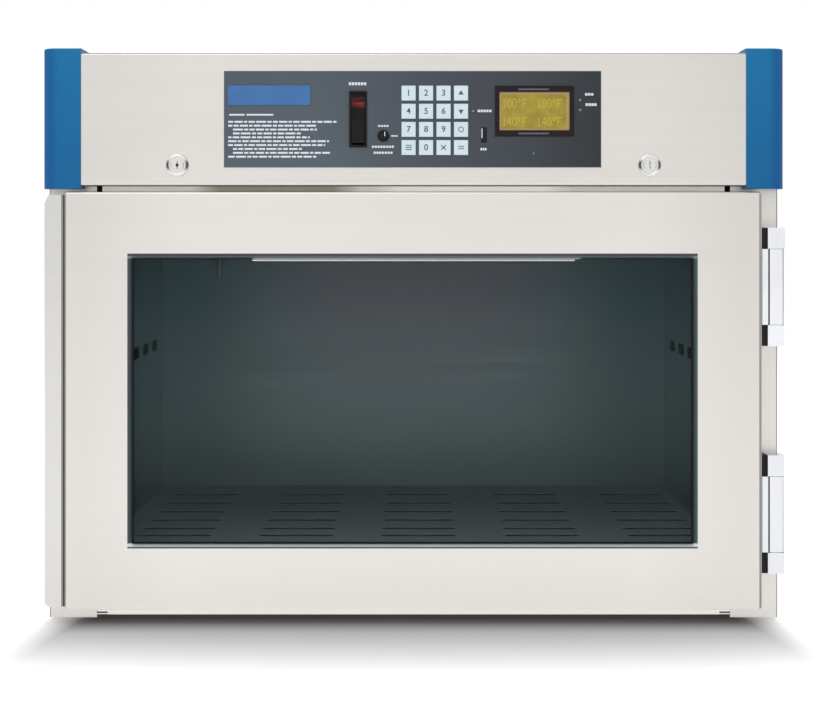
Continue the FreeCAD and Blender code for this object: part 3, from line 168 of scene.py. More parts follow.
lamp_aim = Vector((0, 0, 0.3))
for lamp_name, lamp_place, lamp_width, lamp_power in (
    ("lamp_front", (-0.9, -2.6, 2.6), 2.4, 24),
    ("lamp_rear", (0.3, 2.0, 2.6), 2.2, 34),
):
    lamp_data = bpy.data.lights.new(lamp_name, "AREA")
    lamp_data.size = lamp_width
    lamp_data.energy = lamp_power
    lamp = bpy.data.objects.new(lamp_name, lamp_data)
    lamp.location = lamp_place
    lamp.rotation_euler = (lamp_aim - Vector(lamp_place)).to_track_quat("-Z", "Y").to_euler()
    bpy.context.scene.collection.objects.link(lamp)


# -------------------- bench top
# A matt white bench top runs out of sight on all sides. It is toned as the shade lies under
# and before the cabinet: nearly black against the casing and gone a foot farther out.
class Finish(Shades):
    """A material being mixed, with one Principled shader."""

    def __init__(self, name, **constants):
        self.material = bpy.data.materials.new(name)
        self.material.use_nodes = True
        super().__init__(self.material.node_tree)
        self.shader = self.tree.nodes["Principled BSDF"]
        self.set(**constants)

    def set(self, **sockets):
        for name, value in sockets.items():
            self.feed(self.shader.inputs[name.replace("_", " ")], value)

    def place(self, stretch, seed=0.0):
        """Where a pattern is read that changes stretch times a metre, along each axis or all."""
        if not isinstance(stretch, tuple):
            stretch = (stretch,) * 3
        return self.node("Mapping", inputs={
            "Vector": self.node("TexCoord", output="Object"), "Scale": stretch,
            "Location": (seed, seed * 0.7, seed * 1.3)})

    def noise(self, stretch, detail=3.0, seed=0.0):
        return self.node("TexNoise", inputs={
            "Vector": self.place(stretch, seed), "Scale": 1.0, "Detail": detail})

    def colour_by(self, share, first, second):
        """Colours the piece from the first tone to the second as the share goes from 0 to 1."""
        self.set(Base_Color=self.mix(share, first, second))

    def roughen(self, level, *wanders):
        """Roughness about a level; each (noise, reach) pair takes it up and down."""
        self.set(Roughness=sum(((noise - 0.5) * reach for noise, reach in wanders), level))

    def bump(self, height, strength, distance):
        self.set(Normal=self.node("Bump", inputs={
            "Height": height, "Strength": strength, "Distance": distance}))


bench_reach = 9.0
bench_lift = 0.34
mirrored_lift = 0.44
bench_mesh = bpy.data.meshes.new("bench")
bm = bmesh.new()
bmesh.ops.create_grid(bm, x_segments=2, y_segments=2, size=bench_reach)
bm.to_mesh(bench_mesh)
bm.free()
bench = bpy.data.objects.new("bench", bench_mesh)
bpy.context.scene.collection.objects.link(bench)
bench_top = Finish("bench_top", Roughness=0.9, Specular_IOR_Level=0.0, Emission_Strength=1.0)
is_seen = bench_top.node("LightPath", output="Is Camera Ray")
is_mirrored = bench_top.node("LightPath", output="Is Glossy Ray")
bench_x, bench_y = bench_top.axes()[:2]
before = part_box("outer_wrap")[0].y - bench_y
shade_spread, close_dark, wide_dark = 0.12, 0.25, 0.70
sideways = abs(bench_x) - before * shade_spread
close = (1.0 - before.rising(-10 * mm, 75 * mm)) * (1.0 - sideways.rising(340 * mm, 385 * mm))
wide = (1.0 - before.rising(20 * mm, 290 * mm)) * (1.0 - sideways.rising(350 * mm, 392 * mm))
far_beneath = before.rising(-600 * mm, -250 * mm)
shadow = is_seen * (close * close_dark + wide * wide_dark) * far_beneath
pale = bench_top.mix(bench_top.noise(40), white, (0.985, 0.985, 0.985, 1))
bench_top.colour_by(shadow, pale, (0, 0, 0, 1))
lift = is_seen * (1.0 - shadow) * bench_lift + is_mirrored * mirrored_lift
bench_top.set(Emission_Color=bench_top.grey(lift))
bench_mesh.materials.append(bench_top.material)


# -------------------- casing
# One stainless sheet is bent over both sides and the top, with a back panel, a floor tray and
# a deck of the same sheet. Its grain runs along the bench; each bend has a painted shade line,
# and the sheet has a painted shade towards the cabinet's sides. The deck's front rail has a
# painted shade left of its middle and a painted highlight on the right.
def srgb(red, green, blue):
    """A colour as it looks on a screen, turned into the light that it gives back."""
    def light(part):
        part = part / 255
        return part / 12.92 if part <= 0.04045 else ((part + 0.055) / 1.055) ** 2.4
    return (light(red), light(green), light(blue), 1.0)


def brushed(name, colour, shade, roughness, bend_shade=0.85, level_bends=True, side_shade=0.0):
    """Stainless sheet, with grain along X on fronts and tops and along Y on the sides, and painted shade on
    its bends and towards the sides.
    """
    finish = Finish(name, Metallic=1.0)
    facing_x, _, facing_z = [abs(axis) for axis in finish.axes("Normal")]
    level = facing_z.over(0.6)
    grain_front = finish.noise((25, 25, 1600), detail=2.0)
    grain_top = finish.noise((25, 1600, 25), detail=2.0, seed=3.0)
    grain = grain_front + (grain_top - grain_front) * level
    streak_front = finish.noise((2.5, 2.5, 190), detail=4.0, seed=5.0)
    streak_top = finish.noise((2.5, 190, 2.5), detail=4.0, seed=7.0)
    streak = streak_front + (streak_top - streak_front) * level
    cloud = finish.noise(5, detail=2.0, seed=11.0)
    tone = (grain - 0.5) * 0.7 + (streak - 0.5) * 0.55 + (cloud - 0.5) * 0.6 + 0.5
    sheet = finish.mix(tone.rising(0.0, 1.0), shade, colour)
    # Painted shade: darker towards the cabinet's sides, and a dark line along each bend.
    sideward = abs(finish.axes()[0]).rising(0.24, 0.34) * side_shade
    bend_shade_mask = facing_x.between(0.30, 0.985, 0.01)
    if level_bends:
        bend_shade_mask = bend_shade_mask.larger(facing_z.between(0.45, 0.90, 0.08))
    finish.colour_by((bend_shade_mask * bend_shade).larger(sideward), sheet, srgb(112, 110, 106))
    finish.roughen(roughness, (grain, 0.10), (streak, 0.06), (cloud, 0.05))
    finish.bump(grain * 0.6 + streak * 0.4, 0.03, 0.0004)
    return finish.material


def coat(material, *names):
    """Gives nodes of the cabinet a finish."""
    for name in names:
        nodes[name].data.materials.clear()
        nodes[name].data.materials.append(material)


coat(brushed("casing_sheet", srgb(216, 213, 209), srgb(208, 205, 201), 0.34, side_shade=0.07),
     "outer_wrap", "back_panel", "header_fascia")
coat(brushed("tray_sheet", srgb(230, 228, 223), srgb(220, 218, 213), 0.36), "bottom_pan")
# Painted shade left of the rail's middle and a painted highlight right of it.
shaded_stretch, highlit_stretch, stretch_fade = (-205 * mm, -85 * mm), (-15 * mm, 140 * mm), 30 * mm
deck_finish = Finish("deck_sheet", Metallic=1.0)
along_deck = deck_finish.axes()[0]
deck_grain = deck_finish.noise((25, 25, 1600), detail=2.0)
deck_tone = deck_finish.mix(deck_grain, srgb(226, 223, 215), srgb(214, 211, 202))
for (start, end), colour in ((shaded_stretch, srgb(142, 139, 126)), (highlit_stretch, srgb(254, 253, 249))):
    deck_tone = deck_finish.mix(along_deck.between(start, end, stretch_fade) * 0.9, deck_tone, colour)
deck_finish.set(Base_Color=deck_tone)
deck_finish.roughen(0.36, (deck_grain, 0.1))
deck_finish.bump(deck_grain, 0.03, 0.0004)
coat(deck_finish.material, "deck_panel")


# -------------------- rating plate
# A blank aluminium plate with rounded corners sits low on the back panel, held by four
# domed rivets. Nothing is stamped on it.
def block(bm, low, high):
    """A block between two corners."""
    low, high = Vector(low), Vector(high)
    bmesh.ops.create_cube(bm, size=1.0, matrix=Matrix.Translation((low + high) / 2)
                          @ Matrix.Diagonal((high - low).to_4d()))


def round_corners(bm, along, radius, segments=4):
    """Rounds the edges that run along an axis (0 for X, 1 for Y, 2 for Z)."""
    def runs(edge):
        way = (edge.verts[1].co - edge.verts[0].co).normalized()
        return abs(way[along]) > 0.99
    bmesh.ops.bevel(bm, geom=[edge for edge in bm.edges if runs(edge)], offset=radius,
                    segments=segments, profile=0.5, affect="EDGES", material=-1)


def rounded_block(low, high, along, radius, segments=4):
    bm = bmesh.new()
    block(bm, low, high)
    round_corners(bm, along, radius, segments)
    return bm


def made(name, bm, material, slot, body="cabinet", smooth=False):
    """Turns a mesh into a piece that rides on one of the bodies."""
    bmesh.ops.remove_doubles(bm, verts=bm.verts, dist=0.000001)
    bmesh.ops.recalc_face_normals(bm, faces=bm.faces)
    mesh = bpy.data.meshes.new(name)
    bm.to_mesh(mesh)
    bm.free()
    if smooth:
        mesh.shade_smooth()
        mesh.set_sharp_from_angle(angle=math.radians(38))
    mesh.materials.append(material)
    piece = bpy.data.objects.new(name, mesh)
    bpy.context.scene.collection.objects.link(piece)
    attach(piece, body)
    return piece


plate_half, plate_low, plate_high = 58 * mm, 262 * mm, 318 * mm
plate_gauge, plate_radius = 0.8 * mm, 5 * mm
rivet_radius, rivet_inset, rivet_flatness = 2.2 * mm, 6 * mm, 0.55
back_gauge = 1.2 * mm
back_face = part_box("outer_wrap")[1].y + back_gauge
bm = rounded_block((-plate_half, back_face, plate_low),
                   (plate_half, back_face + plate_gauge, plate_high), 1, plate_radius)
plate_finish = brushed("plate_aluminium", srgb(206, 209, 212), srgb(192, 195, 199), 0.30)
made("rating_plate", bm, plate_finish, "stainless")
bm = bmesh.new()
for side in (-1, 1):
    for level in (plate_low + rivet_inset, plate_high - rivet_inset):
        dome = Matrix.Translation((side * (plate_half - rivet_inset), back_face + plate_gauge, level))
        bmesh.ops.create_uvsphere(bm, u_segments=16, v_segments=8, radius=rivet_radius,
                                  matrix=dome @ Matrix.Diagonal((1, rivet_flatness, 1, 1)))
made("rating_plate_rivets", bm, plate_finish, "stainless", smooth=True)


# -------------------- feet
# Four black rubber discs are screwed up into the floor tray. Each has rounded edges and a
# recess for its screw.
def moulded(name, colour, shade, roughness, fleck_size=1600.0, depth=0.12, wash_size=18.0, gloss=0.22):
    """Moulded plastic or rubber: a fine grain from the mould and a little uneven colour."""
    finish = Finish(name, Specular_IOR_Level=gloss)
    fleck = finish.noise(fleck_size, detail=2.0)
    wash = finish.noise(wash_size, seed=4.0)
    finish.colour_by(wash.rising(0.2, 0.8) * 0.7 + fleck * 0.3, shade, colour)
    finish.roughen(roughness, (wash, 0.12), (fleck, 0.10))
    finish.bump(fleck, depth, 0.0003)
    return finish.material


def lathe(bm, centre, along, profile, steps=32):
    """Turns a profile of (radius, distance along the axis) about a line through centre."""
    centre, along = Vector(centre), Vector(along)
    out = along.orthogonal().normalized()
    points = [bm.verts.new(centre + out * radius + along * reach) for radius, reach in profile]
    edges = [bm.edges.new(pair) for pair in zip(points, points[1:])]
    bmesh.ops.spin(bm, geom=points + edges, cent=centre, axis=along, angle=math.tau,
                   steps=steps, use_merge=True)


foot_profile = [(radius * mm, reach * mm) for radius, reach in (
    (0, 6), (19.2, 6), (20, 5.2), (20, 1.6), (19.4, 0.5), (18.2, 0), (8, 0), (7.2, 0.8), (6.6, 2.6),
    (0, 2.6))]
foot_radius = 20 * mm
feet_low, feet_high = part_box("rubber_feet")
bm = bmesh.new()
for foot_x in (feet_low.x + foot_radius, feet_high.x - foot_radius):
    for foot_y in (feet_low.y + foot_radius, feet_high.y - foot_radius):
        lathe(bm, (foot_x, foot_y, 0), (0, 0, 1), foot_profile)
rubber = moulded("rubber_black", srgb(38, 38, 39), srgb(27, 27, 28), 0.62, fleck_size=900.0)
feet = made("feet", bm, rubber, "rubber", smooth=True)
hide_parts("rubber_feet")


# -------------------- warm room
# The liner is a half-polished stainless box, mottled, bluer away from the middle of its width
# and paler low down. Its back corners carry a painted shade, and a flat air duct hangs from its
# ceiling, with a lip whose rolled lower edge glows with a painted highlight.
liner_finish = Finish("liner_sheet", Metallic=1.0)
across, deep, up = liner_finish.axes()
liner_half, liner_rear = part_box("chamber_liner")[1].xy
roll = liner_finish.noise((3, 3, 220))
stain = liner_finish.noise(4, seed=6.0)
# The tone turns bluer away from the middle of the chamber's width and paler low down.
edgeward = abs(across).rising(liner_half * 0.25, liner_half * 0.8)
centre_tone = liner_finish.mix(stain, srgb(134, 134, 142), srgb(154, 154, 164))
edge_tone = liner_finish.mix(stain, srgb(118, 148, 152), srgb(136, 166, 170))
low_tone = liner_finish.mix(stain, srgb(154, 176, 178), srgb(170, 192, 194))
wall_tone = liner_finish.mix(edgeward, centre_tone, edge_tone)
wall_tone = liner_finish.mix(1.0 - up.rising(0.14, 0.34), wall_tone, low_tone)
# Painted shade in the back corners of the liner.
corner_shade = (abs(across).rising(liner_half - 12 * mm, liner_half - 3 * mm)
        * deep.rising(liner_rear - 32 * mm, liner_rear - 5 * mm))
liner_finish.colour_by(corner_shade * 0.8, wall_tone, srgb(60, 78, 80))
liner_finish.roughen(0.34, (roll, 0.16), (stain, 0.12))
liner_finish.bump(roll, 0.05, 0.0004)
coat(liner_finish.material, "chamber_liner", "ceiling_air_duct")

duct_low, duct_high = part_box("ceiling_air_duct")
lip_height, lip_depth, lip_drop, lip_radius = 4.0 * mm, 3.0 * mm, 0.7 * mm, 0.5 * mm
lip_front = duct_low.y - 0.6 * mm
bm = rounded_block((duct_low.x, lip_front, duct_low.z - lip_drop),
                   (duct_high.x, lip_front + lip_depth, duct_low.z + lip_height), 0, lip_radius, 3)
lip_finish = Finish("duct_lip_bright", Metallic=1.0, Emission_Strength=1.0)
lip_up = lip_finish.axes()[2]
lip_grain = lip_finish.noise((25, 25, 1600), detail=2.0)
# Painted highlight: the lip glows faintly all over and brightly along its lowest millimetre.
lip_glow_highlight = (1.0 - lip_up.rising(duct_low.z + 0.4 * mm, duct_low.z + 1.0 * mm)) * 0.80 + 0.05
lip_finish.colour_by(lip_grain, srgb(254, 254, 254), srgb(246, 248, 250))
lip_finish.set(Emission_Color=lip_finish.grey(lip_glow_highlight))
lip_finish.roughen(0.06, (lip_grain, 0.06))
lip_finish.bump(lip_grain, 0.03, 0.0002)
made("duct_lip", bm, lip_finish.material, "liner_steel")


# -------------------- warm room floor
# A perforated tray of frosted aluminium lies on the liner's floor, over a black sheet that paints
# the shade seen through its slots. Rows of long round-ended slots let the warm air rise between
# the things that stand on it.
tray_gauge = 0.5 * mm
tray_margin = 2 * mm
tray_front, liner_side, liner_back, liner_floor = -294 * mm, 330 * mm, 263.75 * mm, 76 * mm
shade_sheet_gauge = 0.4 * mm
slot_half_length, slot_half_width, slot_end = 42 * mm, 8 * mm, 0.96
slot_columns = [x * mm for x in (-263, -129, 6, 141, 275)]
slot_rows = [y * mm for y in (-207.25, -151.25, -80.25, -2.25, 78.75, 164.75)]
tray_low = Vector((tray_margin - liner_side, tray_front, liner_floor + shade_sheet_gauge))
tray_high = Vector((liner_side - tray_margin, liner_back - tray_margin, liner_floor + shade_sheet_gauge))
bm = bmesh.new()
bmesh.ops.create_grid(bm, x_segments=1, y_segments=1, size=0.5,
                      matrix=Matrix.Translation((tray_low + tray_high) / 2)
                      @ Matrix.Diagonal((tray_high - tray_low).to_4d()))
for places, half, axis in ((slot_columns, slot_half_length, Vector((1, 0, 0))),
                           (slot_rows, slot_half_width, Vector((0, 1, 0)))):
    for place in places:
        for line in (place - half, place + half):
            bmesh.ops.bisect_plane(bm, geom=bm.verts[:] + bm.edges[:] + bm.faces[:],
                                   plane_co=axis * line, plane_no=axis)


def is_slot(face):
    middle = face.calc_center_median()
    return (any(abs(middle.x - place) < slot_half_length for place in slot_columns)
            and any(abs(middle.y - place) < slot_half_width for place in slot_rows))


bmesh.ops.delete(bm, geom=[face for face in bm.faces if is_slot(face)], context="FACES")
slot_corners = [vert for vert in bm.verts if vert.is_boundary and len(vert.link_faces) == 3]
bmesh.ops.bevel(bm, geom=slot_corners, offset=slot_half_width * slot_end, segments=6, profile=0.5,
                affect="VERTICES", material=-1)
bmesh.ops.solidify(bm, geom=bm.faces[:], thickness=tray_gauge)
sunk = tray_low.z - min(vert.co.z for vert in bm.verts)
bmesh.ops.translate(bm, verts=bm.verts[:], vec=(0, 0, sunk))
tray_finish = Finish("tray_frosted", Specular_IOR_Level=0.3)
tray_grain = tray_finish.noise((60, 900, 60), detail=2.0)
tray_finish.colour_by(tray_grain, srgb(196, 214, 220), srgb(218, 232, 238))
tray_finish.roughen(0.5, (tray_grain, 0.16))
tray_finish.bump(tray_grain, 0.05, 0.0003)
made("floor_tray", bm, tray_finish.material, "liner_steel")
# A black sheet under the tray paints the shade seen through its slots.
bm = bmesh.new()
block(bm, (tray_low.x, tray_low.y, liner_floor), tray_high)
slot_shade_finish = moulded("slot_shade_black", srgb(14, 16, 17), srgb(7, 9, 10), 0.8, fleck_size=300.0, gloss=0.05)
made("slot_shade_sheet", bm, slot_shade_finish, "seal_rubber")


# -------------------- blower, heater and supply
# Behind the warm room's ceiling a galvanised scroll houses the blower wheel, its motor
# stands on the deck, and a bent tube heater lies in the outlet. Mineral wool fills the walls,
# coloured near black as painted shade for the gaps where it shows.
def plated(name, colour, shade, roughness, haze_size=420.0, low_tone=None):
    """Plated, polished or ground metal, hazed and faintly wiped, with a painted shade of low_tone near the
    bench.
    """
    finish = Finish(name, Metallic=1.0)
    haze = finish.noise(haze_size)
    wash = finish.noise(30, detail=2.0, seed=2.0)
    tone = finish.mix(haze * 0.5 + wash * 0.5, shade, colour)
    if low_tone:
        # Painted shade: the metal turns towards low_tone near the bench.
        low_shade = 1.0 - finish.axes()[2].rising(180 * mm, 300 * mm)
        tone = finish.mix(low_shade * 0.6, tone, low_tone)
    finish.set(Base_Color=tone)
    finish.roughen(roughness, (wash, 0.12), (haze, 0.05))
    finish.bump(haze, 0.03, 0.0002)
    return finish.material


zinc_coat = Finish("zinc_coat", Metallic=1.0)
crystals = zinc_coat.node("TexVoronoi", {"feature": "F1"},
                          {"Vector": zinc_coat.place(120), "Scale": 1.0}, output="Color")
spangle = zinc_coat.node("SeparateColor", inputs={0: crystals})
zinc_coat.colour_by(spangle, srgb(168, 172, 176), srgb(196, 200, 204))
zinc_coat.set(Roughness=spangle * 0.16 + 0.42)
zinc_coat.bump(spangle, 0.05, 0.0003)
coat(zinc_coat.material, "blower_scroll", "power_supply", "blower_wheel", "glass_spacer")
coat(moulded("motor_enamel", srgb(40, 41, 44), srgb(28, 29, 32), 0.35, fleck_size=500.0), "blower_motor")
coat(plated("heater_sheath", srgb(132, 124, 118), srgb(96, 86, 84), 0.45, haze_size=160.0), "heater_coil")
ground_steel = plated("ground_steel", srgb(190, 191, 194), srgb(168, 169, 173), 0.28, haze_size=900.0)
coat(ground_steel, "temperature_probe", "hinge_pins", "cabinet_screws")
# The wool is coloured near black: painted shade for the gaps where it shows.
coat(moulded("wool_shade_dark", srgb(40, 39, 38), srgb(24, 23, 23), 0.95, fleck_size=300.0, depth=0.6),
     "insulation")


# -------------------- back panel screws
# Pan-head screws hold the back panel to the strips of the casing and to the rear fold of the
# floor tray. Their cross recesses are thin dark crosses of painted shade on the heads.
screw_head_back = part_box("cabinet_screws")[1].y
recess_half, recess_width, recess_skin = 2.1 * mm, 0.9 * mm, 0.05 * mm
side_column, side_low, side_span = 373.8 * mm, 3 * mm, 593 * mm
level_pitch, top_level, low_level = 192 * mm, 585.8 * mm, 15 * mm
screw_places = ([(side * side_column, side_low + side_span * share)
                 for side in (-1, 1) for share in (0.08, 0.36, 0.64, 0.92)]
                + [(place * level_pitch, level) for place in (-1, 0, 1) for level in (top_level, low_level)])
bm = bmesh.new()
for screw_x, screw_z in screw_places:
    for half_x, half_z in ((recess_half, recess_width / 2), (recess_width / 2, recess_half)):
        block(bm, (screw_x - half_x, screw_head_back - recess_skin, screw_z - half_z),
              (screw_x + half_x, screw_head_back + recess_skin, screw_z + half_z))
# Painted shade for recesses: thin dark skins laid on the surface.
recess_shade = moulded("recess_shade", srgb(34, 34, 36), srgb(22, 22, 24), 0.6)
made("screw_recess_shades", bm, recess_shade, "pin_steel")


# -------------------- door
# The door is an outer and an inner skin of pressed stainless, welded at the rim. A folded
# A folded finger pull runs down its free edge; a strip of painted shade fills the groove between
# it and the skin, black in the groove and grey at both sides. A grey strip of painted shade lines
# the hinge edge.
door_finish = brushed("door_sheet", srgb(219, 216, 212), srgb(212, 209, 205), 0.33, bend_shade=0.4,
                      level_bends=False, side_shade=0.12)
coat(door_finish, "door_outer_skin", "door_inner_skin")
coat(brushed("pull_sheet", srgb(207, 206, 202), srgb(199, 198, 194), 0.30), "door_pull")
door_low, door_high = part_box("door_outer_skin")
pull_low, pull_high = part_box("door_pull")
groove_shade_width, groove_shade_sunk, groove_shade_depth, groove_shade_end = 3.2 * mm, 0.7 * mm, 11 * mm, 0.4 * mm
groove_middle = door_low.x - 1.3 * mm
# A strip of painted shade in the pull's groove: black in the middle, grey at both sides.
groove_shade = Finish("groove_shade", Specular_IOR_Level=0.2)
across_groove = groove_shade.axes()[0]
groove_shade_grain = groove_shade.noise(500)
off_middle = abs(across_groove - groove_middle).rising(0.2 * mm, 1.4 * mm)
groove_shade.colour_by(off_middle, srgb(16, 14, 13), srgb(186, 183, 178))
groove_shade.roughen(0.6, (groove_shade_grain, 0.12))
groove_shade.bump(groove_shade_grain, 0.1, 0.0003)
bm = rounded_block((door_low.x - groove_shade_width, pull_low.y + groove_shade_sunk, pull_low.z + groove_shade_end),
                   (door_low.x - 0.05 * mm, pull_low.y + groove_shade_depth, pull_high.z - groove_shade_end),
                   2, 0.6 * mm, 3)
made("pull_groove_shade", bm, groove_shade.material, "seal_rubber", "door", smooth=True)
# A grey strip of painted shade runs along the door's hinge edge.
shade_strip_width, shade_strip_depth, shade_strip_end = 1.5 * mm, 2.5 * mm, 2 * mm
shade_strip_front = door_low.y + 0.6 * mm
bm = rounded_block((door_high.x, shade_strip_front, door_low.z + shade_strip_end),
                   (door_high.x + shade_strip_width, shade_strip_front + shade_strip_depth, door_high.z - shade_strip_end),
                   2, 0.3 * mm, 2)
edge_shade_grey = moulded("edge_shade_grey", srgb(186, 183, 178), srgb(172, 169, 164), 0.6, fleck_size=900.0)
made("edge_shade_strip", bm, edge_shade_grey, "seal_rubber", "door")


# -------------------- door seal
# A grey silicone bellows runs round the back of the door with its corners mitred: a flat
# foot against the skin, and a soft hollow crown that closes on the front of the casing.
def mitred_frame(rectangle, profile):
    """Carries a closed profile of (distance inward, y) round a rectangle in the XZ plane."""
    left, right, low, high = rectangle
    bm = bmesh.new()
    mitres = []
    for x, z, inward_x, inward_z in (
        (left, low, 1, 1), (right, low, -1, 1), (right, high, -1, -1), (left, high, 1, -1),
    ):
        section = [bm.verts.new((x + inward * inward_x, y, z + inward * inward_z)) for inward, y in profile]
        mitres.append([bm.edges.new((section[turn - 1], section[turn])) for turn in range(len(section))])
    for mitre, following in zip(mitres, mitres[1:] + mitres[:1]):
        bmesh.ops.bridge_loops(bm, edges=mitre + following)
    return bm


seal_low, seal_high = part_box("door_gasket")
seal_profile = [(0, 0), (0, 0.55), (1.1, 0.75), (2.6, 0.8), (3.3, 1.5), (3.9, 2.2), (4.9, 2.6),
                (6.2, 2.7), (7.8, 2.7), (9.1, 2.6), (10.1, 2.2), (10.7, 1.5), (11.4, 0.8),
                (12.9, 0.75), (14, 0.55), (14, 0)]
bm = mitred_frame((seal_low.x, seal_high.x, seal_low.z, seal_high.z),
                  [(inward * mm, seal_low.y + rise * mm) for inward, rise in seal_profile])
silicone = moulded("seal_silicone", srgb(122, 123, 125), srgb(104, 105, 107), 0.6, fleck_size=900.0)
seal = made("door_seal", bm, silicone, "seal_rubber", "door", smooth=True)
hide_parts("door_gasket")


# -------------------- window
# Two panes of toughened glass stand either side of an aluminium spacer. A dark grey frame
# holds the outer pane, and black rubber beads seal both panes. The frame's tones are painted
# light: a dark top edge over a lighter band, a different tone on each side, and a bright painted
# highlight on the lower bar over a dark edge. The outer bead's top bar has a painted highlight.
bezel_finish = Finish("bezel_satin", Specular_IOR_Level=0.2)
bezel_across, _, bezel_up = bezel_finish.axes()
bezel_low, bezel_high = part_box("glazing_bezel")
bar_width = 5 * mm
bezel_grain = bezel_finish.noise(900, detail=2.0)
bezel_wash = bezel_finish.noise(14)
# Painted light and shade: each side bar has its own tone, the top bar a dark edge over a lighter band, the
# low bar a bright highlight over a dark edge.
left_bar = bezel_finish.mix(bezel_wash, srgb(88, 96, 101), srgb(98, 106, 111))
right_bar = bezel_finish.mix(bezel_wash, srgb(86, 104, 105), srgb(96, 114, 115))
side_bars = bezel_finish.mix(bezel_across.over(0.0), left_bar, right_bar)
top_bar = bezel_finish.mix(bezel_up.rising(bezel_high.z - 2.0 * mm, bezel_high.z - 3.4 * mm),
                           srgb(88, 92, 97), srgb(158, 163, 168))
low_bar = bezel_finish.mix(bezel_up.rising(bezel_low.z + 1.2 * mm, bezel_low.z + 2.2 * mm),
                           srgb(92, 95, 110), srgb(244, 252, 255))
upper_bars = bezel_finish.mix(bezel_up.over(bezel_high.z - bar_width), side_bars, top_bar)
bezel_finish.colour_by(bezel_up.over(bezel_low.z + bar_width), low_bar, upper_bars)
bezel_finish.roughen(0.38, (bezel_wash, 0.12), (bezel_grain, 0.1))
bezel_finish.bump(bezel_grain, 0.08, 0.0003)
coat(bezel_finish.material, "glazing_bezel")


def pane(name, tint, cover):
    """Clear glass that darkens what lies behind it by its cover, and mirrors a little."""
    finish = Finish(name, IOR=1.45, Specular_IOR_Level=0.22)
    film = finish.noise(7)
    finish.colour_by(film, tint, srgb(34, 44, 46))
    finish.set(Roughness=film * 0.03 + 0.02, Alpha=(film - 0.5) * 0.02 + cover)
    return finish.material


coat(pane("outer_pane", srgb(28, 38, 40), 0.22), "outer_glass")
coat(pane("inner_pane", srgb(28, 38, 40), 0.12), "inner_glass")

bead_rubber = moulded("bead_rubber", srgb(30, 32, 34), srgb(20, 22, 24), 0.55, fleck_size=900.0)
outer_bead, bead_lap = 1.1 * mm, 0.3 * mm
glass_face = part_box("outer_glass")[0].y
bead_face = bezel_low.y - 0.15 * mm
bm = mitred_frame((bezel_low.x + bar_width, bezel_high.x - bar_width,
                   bezel_low.z + bar_width, bezel_high.z - bar_width),
                  [(-bead_lap, bezel_low.y + 0.1 * mm), (-bead_lap, bead_face), (0, bead_face - 0.1 * mm),
                   (outer_bead * 0.4, bead_face + 0.3 * mm), (outer_bead, glass_face)])
bead_finish = Finish("bead_rubber_outer", Specular_IOR_Level=0.22)
bead_across, _, bead_up = bead_finish.axes()
bead_grain = bead_finish.noise(900, detail=2.0)
# A painted highlight along the top bar of the outer bead.
highlight_left, highlight_right = -165 * mm, 172 * mm
bead_highlight = (bead_across.between(highlight_left, highlight_right, 4 * mm)
          * bead_up.over(bezel_high.z - bar_width - outer_bead))
bead_tone = bead_finish.mix(bead_grain, srgb(30, 40, 44), srgb(20, 30, 34))
bead_finish.colour_by(bead_highlight * 0.8, bead_tone, srgb(190, 196, 200))
bead_finish.roughen(0.6, (bead_grain, 0.1))
bead_finish.bump(bead_grain, 0.12, 0.0003)
made("outer_glazing_bead", bm, bead_finish.material, "seal_rubber", "door")
inner_bead, inner_bead_proud = 3.0 * mm, 2.4 * mm
inner_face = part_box("inner_glass")[1].y
bm = mitred_frame((bezel_low.x, bezel_high.x, bezel_low.z, bezel_high.z),
                  [(0, inner_face), (0, inner_face + inner_bead_proud),
                   (inner_bead * 0.5, inner_face + inner_bead_proud),
                   (inner_bead * 0.9, inner_face + inner_bead_proud * 0.5), (inner_bead, inner_face)])
made("inner_glazing_bead", bm, bead_rubber, "seal_rubber", "door")


# -------------------- hinges
# Two long cast hinges with thick leaves and polished chrome plate, darkened low down by a
# painted shade that falls mostly on the lower one, stand on black nylon pads and turn on ground
# steel pins. Their knuckles are milled flat in front, and thin black strips of painted shade part
# the door's leaf from its barrel and also line the door's edge and the barrel's far side.
chrome = plated("bright_chrome", srgb(238, 239, 243), srgb(218, 219, 224), 0.18,
                haze_size=(420, 420, 60), low_tone=srgb(192, 194, 198))
coat(chrome, "hinge_frame_leaves", "hinge_door_leaves")
nylon = moulded("nylon_black", srgb(30, 30, 32), srgb(20, 20, 22), 0.5)
coat(nylon, "hinge_pads")
leaf_low, leaf_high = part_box("hinge_frame_leaves")
end_knuckle, end_play, hinge_length = 22 * mm, 0.3 * mm, 123.6 * mm
knuckle_left, groove_left, washer_left, barrel_left = 369.4 * mm, 370.0 * mm, 370.2 * mm, 371.6 * mm
barrel_right = leaf_high.x - 1.6 * mm
knuckle_edge, barrel_edge, knuckle_skin, knuckle_gap = 0.7 * mm, 1.1 * mm, 0.05 * mm, 0.1 * mm
washer_sunk, barrel_sunk, groove_sunk, groove_depth = 0.2 * mm, 0.5 * mm, 0.55 * mm, 0.2 * mm
pin_radius = 4 * mm
pin_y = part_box("hinge_pins")[0].y + pin_radius
faces, shade_strips, barrels, washers = [bmesh.new() for _ in range(4)]
